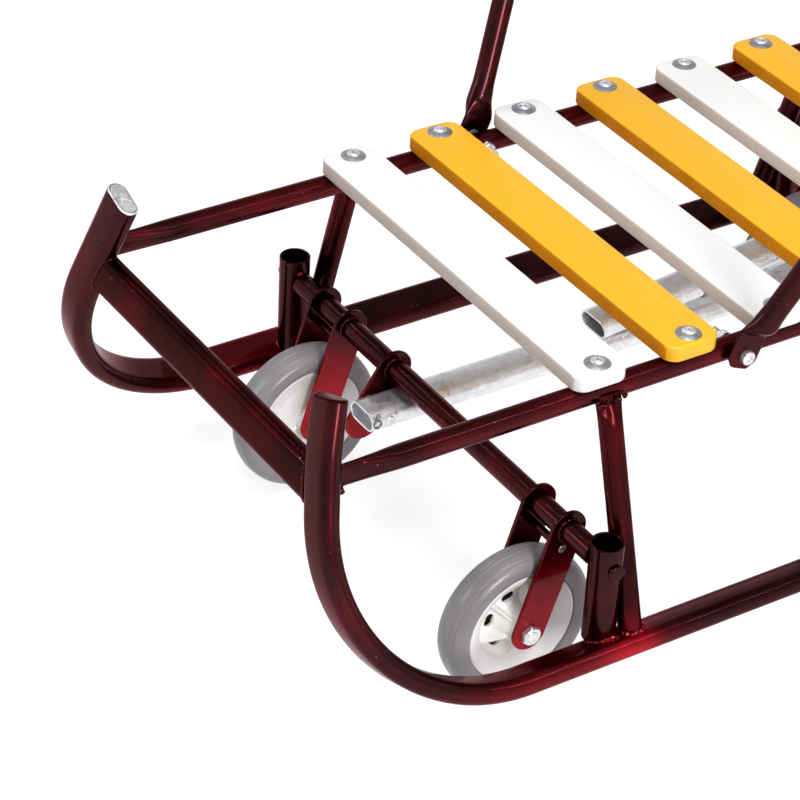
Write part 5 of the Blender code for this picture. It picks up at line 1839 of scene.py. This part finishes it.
@dataclass
class SeatSlats:
    """The eight slats with their screws and washers."""

    finishes: Finishes
    count: int = 8
    pitch: float = 0.0732
    first_y: float = -0.202
    width: float = 0.042
    corner: float = 0.010
    edge: float = 0.0018
    screw_x: float = 0.150
    screw_back: float = 0.0015
    washer_radius: float = 0.0091
    washer_rise: float = 0.0021
    head_radius: float = 0.0048
    head_base: float = 0.0019
    head_rise: float = 0.0018
    cross_depth: float = 0.0016

    def build(self) -> None:
        """Builds the slats and what holds them."""
        for index in range(self.count):
            y = self.first_y + index * self.pitch
            board = plank(SIZES.slat_length / 2, self.width / 2, self.corner, self.edge, True)
            center = np.array((0.0, y, SIZES.seat_height - SIZES.slat_thickness / 2))
            if index % 2 == 0:
                slot, materials = Slot.WHITE, [self.finishes.white, self.finishes.ply]
            else:
                # The yellow slats' long edges take the darker yellow as painted shade.
                slot, materials = Slot.YELLOW, [self.finishes.yellow, self.finishes.yellow_shaded_edge]
            surfaces = [move(board, center, ACROSS, ALONG, UP)]
            dress(f"slat_{index + 1}", "board", surfaces, materials, "chassis", slot)
            for side in SIDES:
                self.build_screw(index, side, y)

    def build_screw(self, index: int, side: str, y: float) -> None:
        """A domed washer with a pan-head screw on it, both as heights over rings round their middle.

        The washer and the head each fall as one minus a power of the share of their radius, and the head has
        a cross sunk into it, turned a little further on each slat.

        Args:
            index: number of the slat.
            side: left or right.
            y: the slat's middle along the sled.
        """
        top = np.array((SIDES[side] * self.screw_x, y + self.screw_back, SIZES.seat_height))
        turn = circle(1.0, 64)
        share = np.array((0.0, 0.30, 0.50, 0.62, 0.76, 0.88, 0.95, 0.99, 1.0, 1.0))
        heights = 0.0002 + self.washer_rise * (1 - share ** 2.4)
        heights[-2:] = (0.0002, -0.0002)
        heights = np.repeat(heights[:, None], 64, axis=1)
        washer = self.height_rings(top, turn, share * self.washer_radius, heights)
        share = np.array((0.0, 0.08, 0.16, 0.24, 0.32, 0.40, 0.48, 0.58, 0.70, 0.82, 0.91, 0.97, 1.0, 1.0))
        heights = self.head_base + self.head_rise * (1 - share ** 3.2)
        heights[-2:] = (0.0021, 0.0014)
        u, v = (share * self.head_radius)[:, None] * turn.T[:, None]
        spin = 0.5 + index
        along, beside = np.abs(u * cos(spin) + v * sin(spin)), np.abs(v * cos(spin) - u * sin(spin))
        narrow = 1 - smoothstep(0.00045, 0.00085, np.minimum(along, beside))
        cross = narrow * (1 - smoothstep(0.0018, 0.0025, np.maximum(along, beside)))
        heights = heights[:, None] - self.cross_depth * cross
        head = self.height_rings(top, turn, share * self.head_radius, heights)
        head.slot = 1
        make_piece(f"slat_screw_{index + 1}_{side}", [washer, head],
                   [self.finishes.washer_zinc, self.finishes.screw_zinc], Seat("chassis", Slot.ZINC))

    def height_rings(self, top: Array, turn: Array, radii: Array, heights: Array) -> Surface:
        """Rings over a point, closed below by their last ring's middle.

        Args:
            top: the point.
            turn: points of the unit circle.
            radii: radius of each ring.
            heights: heights by ring and point.

        Returns:
            The surface.
        """
        points = np.empty((len(radii) + 1, len(turn), 3))
        points[:-1, :, :2] = radii[:, None, None] * turn
        points[:-1, :, 2] = heights
        points[-1] = (0.0, 0.0, heights[-1].mean())
        return grid(top + points)


@dataclass
class GateFrame:
    """A bent tube with two feet pressed flat beside the rails, as the handle and the backrest have."""

    finishes: Finishes
    name: str
    body: str
    pivot_y: float
    lean: float
    corners: tuple[Point, ...]
    radii: tuple[float, ...]
    foot_x: float = 0.16425
    thickness: float = 0.0038
    width: float = 0.025
    below: float = 0.0095
    flat_above: float = 0.014
    taper: float = 0.014
    sidestep: float = 0.0066
    widening: float = 0.030
    clip_width: float = 0.0072
    clip_length: float = 0.0055
    press_power: float = 0.55
    hole_radius: float = 0.0033
    hole_half: float = 0.01
    bolt_radius: float = 0.003
    bolt_head: float = 0.0050
    bolt_head_height: float = 0.0044
    washer_radius: float = 0.006
    nut_flats: float = 0.010
    nut_height: float = 0.005
    nut_chamfer: float = 0.0008
    thread_length: float = 0.0080
    thread_depth: float = 0.00035
    thread_steps: int = 31

    def pivot(self, side: str) -> Array:
        """The middle of one foot."""
        return np.array((SIDES[side] * self.foot_x, self.pivot_y, SIZES.rail_z))

    def half_path(self) -> tuple[Array, Array]:
        """The left half of the tube's middle line, and how far each point lies up the pressed foot.

        Returns:
            The points, and for each its smooth share of roundness, 0 on the flat foot and 1 on the tube.
        """
        heading = np.array((0.0, sin(self.lean), cos(self.lean)))
        round_from = self.flat_above + self.taper
        up_foot = np.concatenate((np.linspace(-self.below, self.flat_above, 12),
                                  np.linspace(self.flat_above, round_from, 14)[1:]))
        share = smoothstep(self.flat_above, round_from, up_foot)
        foot = self.pivot("left") + up_foot[:, None] * heading + (share * self.sidestep)[:, None] * ACROSS
        inner = [np.array(corner) for corner in self.corners]
        upper = bent_path([foot[-1], *inner, inner[-1] * (-1.0, 1.0, 1.0)], list(self.radii))
        past = upper[:, 0] <= 0.0
        stop = int(np.argmax(past)) if past.any() else len(upper)
        half = np.concatenate((upper[:stop], ((0.0, *inner[-1][1:]),)))
        return np.concatenate((foot[:-1], half)), np.concatenate((share[:-1], np.ones(len(half))))

    def build_tube(self) -> None:
        """The whole tube along its middle line, closed at its pressed feet.

        Its section is an ellipse whose corners fill up as the foot is pressed: the cosine keeps its sign and
        is raised to a power that falls below 1. The foot's end is clipped: its half width falls in a straight
        line over its last stretch.
        """
        half, share = self.half_path()
        path = np.concatenate((half, half[-2::-1] * (-1.0, 1.0, 1.0)))
        share = np.concatenate((share, share[-2::-1]))[:, None]
        reach = np.concatenate(((0.0,), np.cumsum(np.linalg.norm(np.diff(half, axis=0), axis=1))))
        reach = np.concatenate((reach, reach[-2::-1]))[:, None]
        tangent = unit(np.gradient(path, axis=0))
        right = np.empty_like(path)
        right[0] = ACROSS
        for index in range(1, len(path)):
            right[index] = unit(right[index - 1] - (right[index - 1] @ tangent[index]) * tangent[index])
        cosine, sine = polar(np.linspace(0.0, 2 * pi, 40, endpoint=False)).T
        flat = 1 - share
        whole = self.below + self.flat_above
        wide = 1 - smoothstep(whole - 0.002, whole + self.widening, reach)
        near_end = np.clip(reach / self.clip_length, 0.0, 1.0)
        clipped = self.clip_width + (self.width / 2 - self.clip_width) * near_end
        filled = np.sign(cosine) * np.abs(cosine) ** (1 - self.press_power * flat)
        across = (share * SIZES.tube_radius + flat * self.thickness / 2) * filled
        along = ((1 - wide) * SIZES.tube_radius + wide * clipped) * sine
        rings = sweep(path, right, np.cross(tangent, right), np.stack((across, along), axis=-1))
        tube = dress(self.name, "tube", [capped(rings)], [self.finishes.paint], self.body, Slot.PAINT,
                     sharp=50.0)
        radius, reach = self.hole_radius, self.hole_half
        profile = np.array(((0.0, -reach), (radius, -reach), (radius, reach), (0.0, reach)))
        carve(tube, [turned(profile, self.pivot(side), ACROSS, 24) for side in SIDES], sharp=50.0)

    def build_bolts(self, name: str) -> None:
        """The bolt through each foot and its rail: a dome head outside, a washer between and a nut inside.

        The thread's end stands past the nut, its radius going in and out from ring to ring.

        Args:
            name: the bolts' name, without their side.
        """
        outer, foot_inner = (self.foot_x + sign * (self.thickness / 2 + SIZES.gap) for sign in (1.0, -1.0))
        clear = SIZES.tube_radius + SIZES.gap
        rail_outer, rail_inner = SIZES.rail_x + clear, SIZES.rail_x - clear
        top = outer + self.bolt_head_height
        head, shank, washer = self.bolt_head, self.bolt_radius, self.washer_radius
        socket = top - 0.0014
        dome = ((0.0, socket), (0.0018, socket), (0.0023, top), (0.0038, top), (0.0046, top - 0.0003),
                (head, top - 0.0009))
        neck = ((head, outer), (shank, outer), (shank, foot_inner), (washer, foot_inner),
                (washer, rail_outer), (shank, rail_outer))
        start = rail_inner - self.nut_height
        thread = np.linspace(start, start - self.thread_length, self.thread_steps)
        ridges = shank - self.thread_depth * (np.arange(self.thread_steps) % 2)
        tip = thread[-1] - 0.0005
        profile = np.concatenate((dome, neck, np.column_stack((ridges, thread)), ((0.0022, tip), (0.0, tip))))
        for side in SIDES:
            way = SIDES[side] * ACROSS
            middle = self.pivot(side) * (0.0, 1.0, 1.0)
            nut = placed(hexagon_head(self.nut_flats, self.nut_height, self.nut_chamfer),
                         middle + rail_inner * way, ALONG, np.cross(-way, ALONG), -way)
            dress(f"{name}_{side}", "pin", [turned(profile, middle, way, 40), capped(nut)],
                  [self.finishes.screw_zinc], "chassis", Slot.ZINC, sharp=28.0)


@dataclass
class PushHandle(GateFrame):
    """The push handle with its foam grip."""

    name: str = "push_handle"
    body: str = "handle"
    pivot_y: float = -0.090
    lean: float = radians(22.6)
    corners: tuple[Point, ...] = ((0.2145, -0.011119, 0.4287), (0.2145, 0.367147, 0.8795))
    radii: tuple[float, ...] = (0.060, 0.070)
    grip_radius: float = 0.013
    grip_length: float = 0.240
    grip_lip: float = 0.004

    def build(self) -> None:
        """Builds the handle, its bolts and its grip, whose ends are rounded by a quarter circle."""
        self.build_tube()
        self.build_bolts("handle_bolt")
        _, y, z = self.corners[-1]
        half, lip, bore = self.grip_length / 2, self.grip_lip, SIZES.tube_radius + SIZES.gap
        turn = np.linspace(pi / 2, 0.0, 6)
        end = np.column_stack((self.grip_radius - lip * (1 - np.sin(turn)), half - lip * (1 - np.cos(turn))))
        middle = np.linspace(half - lip, -half + lip, 40)[1:-1]
        skin = np.column_stack((np.full(len(middle), self.grip_radius), middle))
        profile = np.concatenate((end[::-1], skin, end * (1.0, -1.0), ((bore, -half), (bore, half))))
        grip = turned(profile, np.array((0.0, y, z)), ACROSS, 40, closed=True)
        dress("handle_grip", "foam", [grip], [self.finishes.foam], self.body, Slot.FOAM, sharp=60.0)


@dataclass
class Backrest(GateFrame):
    """The backrest: a bent tube with a board across its front."""

    name: str = "backrest_frame"
    body: str = "backrest"
    pivot_y: float = 0.3455
    lean: float = radians(12.0)
    corners: tuple[Point, ...] = ((0.17085, 0.402676, 0.508190),)
    radii: tuple[float, ...] = (0.050,)
    board_half_length: float = 0.18485
    board_height: float = 0.110
    board_from_pivot: float = 0.125
    board_corner: float = 0.010
    board_edge: float = 0.0018

    def build(self) -> None:
        """Builds the tube, its bolts and its board."""
        self.build_tube()
        self.build_bolts("backrest_bolt")
        upward = np.array((0.0, sin(self.lean), cos(self.lean)))
        forward = np.array((0.0, -cos(self.lean), sin(self.lean)))
        middle = self.board_from_pivot + self.board_height / 2
        lift = SIZES.tube_radius + SIZES.gap + SIZES.slat_thickness / 2
        center = np.array((0.0, self.pivot_y, SIZES.rail_z)) + middle * upward + lift * forward
        board = plank(self.board_half_length, self.board_height / 2, self.board_corner, self.board_edge,
                      False)
        dress("backrest_board", "plank", [move(board, center, ACROSS, upward, forward)],
              [self.finishes.yellow], self.body, Slot.YELLOW)


# Stage
WHITE_LIGHT = (1.0, 1.0, 1.0, 1.0)


@dataclass(frozen=True)
class PhotoCamera:
    """The camera, set at the photograph's angle and framing."""

    target: tuple[float, float, float] = (0.1245322, -0.3348104, 0.2595)
    azimuth: float = radians(55.9503)
    elevation: float = radians(34.5072)
    roll: float = radians(3.1131)
    distance: float = 1.9304
    lens: float = 138.141
    sensor_width: float = 36.0
    clip_start: float = 0.05

    def build(self) -> None:
        """Makes the camera: it looks back along its own z axis at the target."""
        a, e, r = self.azimuth, self.elevation, self.roll
        back = np.array((sin(a) * cos(e), -cos(a) * cos(e), sin(e)))
        right = np.array((cos(a), sin(a), 0.0))
        up = np.cross(back, right)
        place = Matrix.Identity(4)
        for column, vector in enumerate((right * cos(r) + up * sin(r), -right * sin(r) + up * cos(r), back)):
            place.col[column].xyz = Vector(vector)
        place.translation = Vector(np.array(self.target) + self.distance * back)
        data = bpy.data.cameras.new("photo_camera")
        data.lens = self.lens
        data.sensor_width = self.sensor_width
        data.clip_start = self.clip_start
        camera = add_object("photo_camera", data)
        camera.matrix_world = place
        bpy.context.scene.camera = camera


@dataclass(frozen=True)
class Lamp:
    """One soft area lamp."""

    name: str
    place: tuple[float, float, float]
    aim: tuple[float, float, float]
    size: float
    power: float
    tall: float = 0.0

    def build(self) -> None:
        """Makes the lamp and turns it to its aim."""
        data = bpy.data.lights.new(self.name, "AREA")
        data.energy = self.power
        data.size = self.size
        if self.tall:
            data.shape = "RECTANGLE"
            data.size_y = self.tall
        lamp = add_object(self.name, data)
        lamp.location = self.place
        lamp.rotation_euler = (Vector(self.aim) - Vector(self.place)).to_track_quat("-Z", "Y").to_euler()


@dataclass(frozen=True)
class Studio:
    """Pale floor, even grey light and soft lamps."""

    floor_half: float = 30.0
    floor_steps: int = 49
    rise_start: float = 18.0
    rise: float = 16.0
    world_strength: float = 0.34
    floor_color: Color = (0.50, 0.50, 0.51)
    floor_glow: float = 0.72
    lamps: tuple[Lamp, ...] = (
        Lamp("overhead_softbox", (0.3, -0.3, 2.3), (0.0, 0.0, 0.2), 1.1, 20.0),
        Lamp("side_softbox", (2.4, -0.4, 1.2), (0.0, 0.0, 0.15), 0.8, 46.0, tall=1.1),
        Lamp("front_softbox", (-1.4, -2.2, 1.5), (0.0, 0.0, 0.15), 0.7, 14.0, tall=1.2),
        Lamp("long_strip", (1.35, 1.1, 2.3), (0.0, 1.1, 0.2), 2.4, 9.0, tall=0.012),
        Lamp("cross_strip", (-2.0, -0.55, 2.2), (-2.0, 0.3, 0.2), 2.2, 6.0, tall=0.012),
    )

    def build(self) -> None:
        """Makes the floor, the world and the lamps."""
        self.build_floor()
        self.build_world()
        for lamp in self.lamps:
            lamp.build()

    def build_floor(self) -> None:
        """A large floor that rises to a backdrop far off, as pale as the photograph's white ground.

        Its height is a smooth step of the distance from the middle, times the backdrop's height.
        """
        line = np.linspace(-self.floor_half, self.floor_half, self.floor_steps)
        x, y = np.meshgrid(line, line, indexing="ij")
        z = self.rise * smoothstep(self.rise_start, self.floor_half, np.hypot(x, y))
        sheet = grid(np.stack((x, y, z), axis=-1), loop_columns=False)
        mesh = bpy.data.meshes.new("studio_floor")
        mesh.from_pydata(sheet.points.tolist(), [], sheet.faces.tolist())
        mesh.materials.append(self.floor_material())
        add_object("studio_floor", mesh)

    def floor_material(self) -> Material:
        """The floor's matt grey, which also glows to whatever looks at it straight or in a mirror."""
        material = bpy.data.materials.new("studio_floor")
        material.use_nodes = True
        tree = material.node_tree
        shader = tree.nodes["Principled BSDF"]
        shader.inputs["Base Color"].default_value = rgba(self.floor_color)
        shader.inputs["Roughness"].default_value = 0.9
        shader.inputs["Specular IOR Level"].default_value = 0.1
        ray = tree.nodes.new("ShaderNodeLightPath").outputs
        seen = ray["Is Camera Ray"]
        for kind in ("Is Glossy Ray", "Is Transmission Ray"):
            node = add_node(tree, "Math", {"operation": "ADD", "use_clamp": True}, i0=seen, i1=ray[kind])
            seen = node.outputs["Value"]
        share = add_node(tree, "Math", {"operation": "MULTIPLY"}, i0=seen, i1=self.floor_glow)
        glow = add_node(tree, "Emission", Color=WHITE_LIGHT, Strength=share.outputs["Value"])
        both = add_node(tree, "AddShader", i0=shader.outputs["BSDF"], i1=glow.outputs["Emission"])
        tree.links.new(both.outputs["Shader"], tree.nodes["Material Output"].inputs["Surface"])
        return material

    def build_world(self) -> None:
        """A dim, even world above the backdrop."""
        world = bpy.data.worlds.new("studio_world")
        world.use_nodes = True
        background = world.node_tree.nodes["Background"]
        background.inputs["Color"].default_value = WHITE_LIGHT
        background.inputs["Strength"].default_value = self.world_strength
        bpy.context.scene.world = world


def main() -> None:
    """Builds the sled's finishes and sub-assemblies, then the stage."""
    logging.basicConfig(level=logging.INFO, format="%(name)s: %(message)s")
    bpy.context.scene.view_settings.view_transform = "Standard"
    finishes = Finishes()
    runners = Runners(finishes)
    runners.build()
    Frame(finishes, runners).build()
    for end in ENDS:
        PivotRod(finishes, end).build()
        WheelPair(finishes, end).build()
    LiftLinkage(finishes).build()
    SeatSlats(finishes).build()
    PushHandle(finishes).build()
    Backrest(finishes).build()
    PhotoCamera().build()
    Studio().build()


if __name__ == "__main__":
    main()
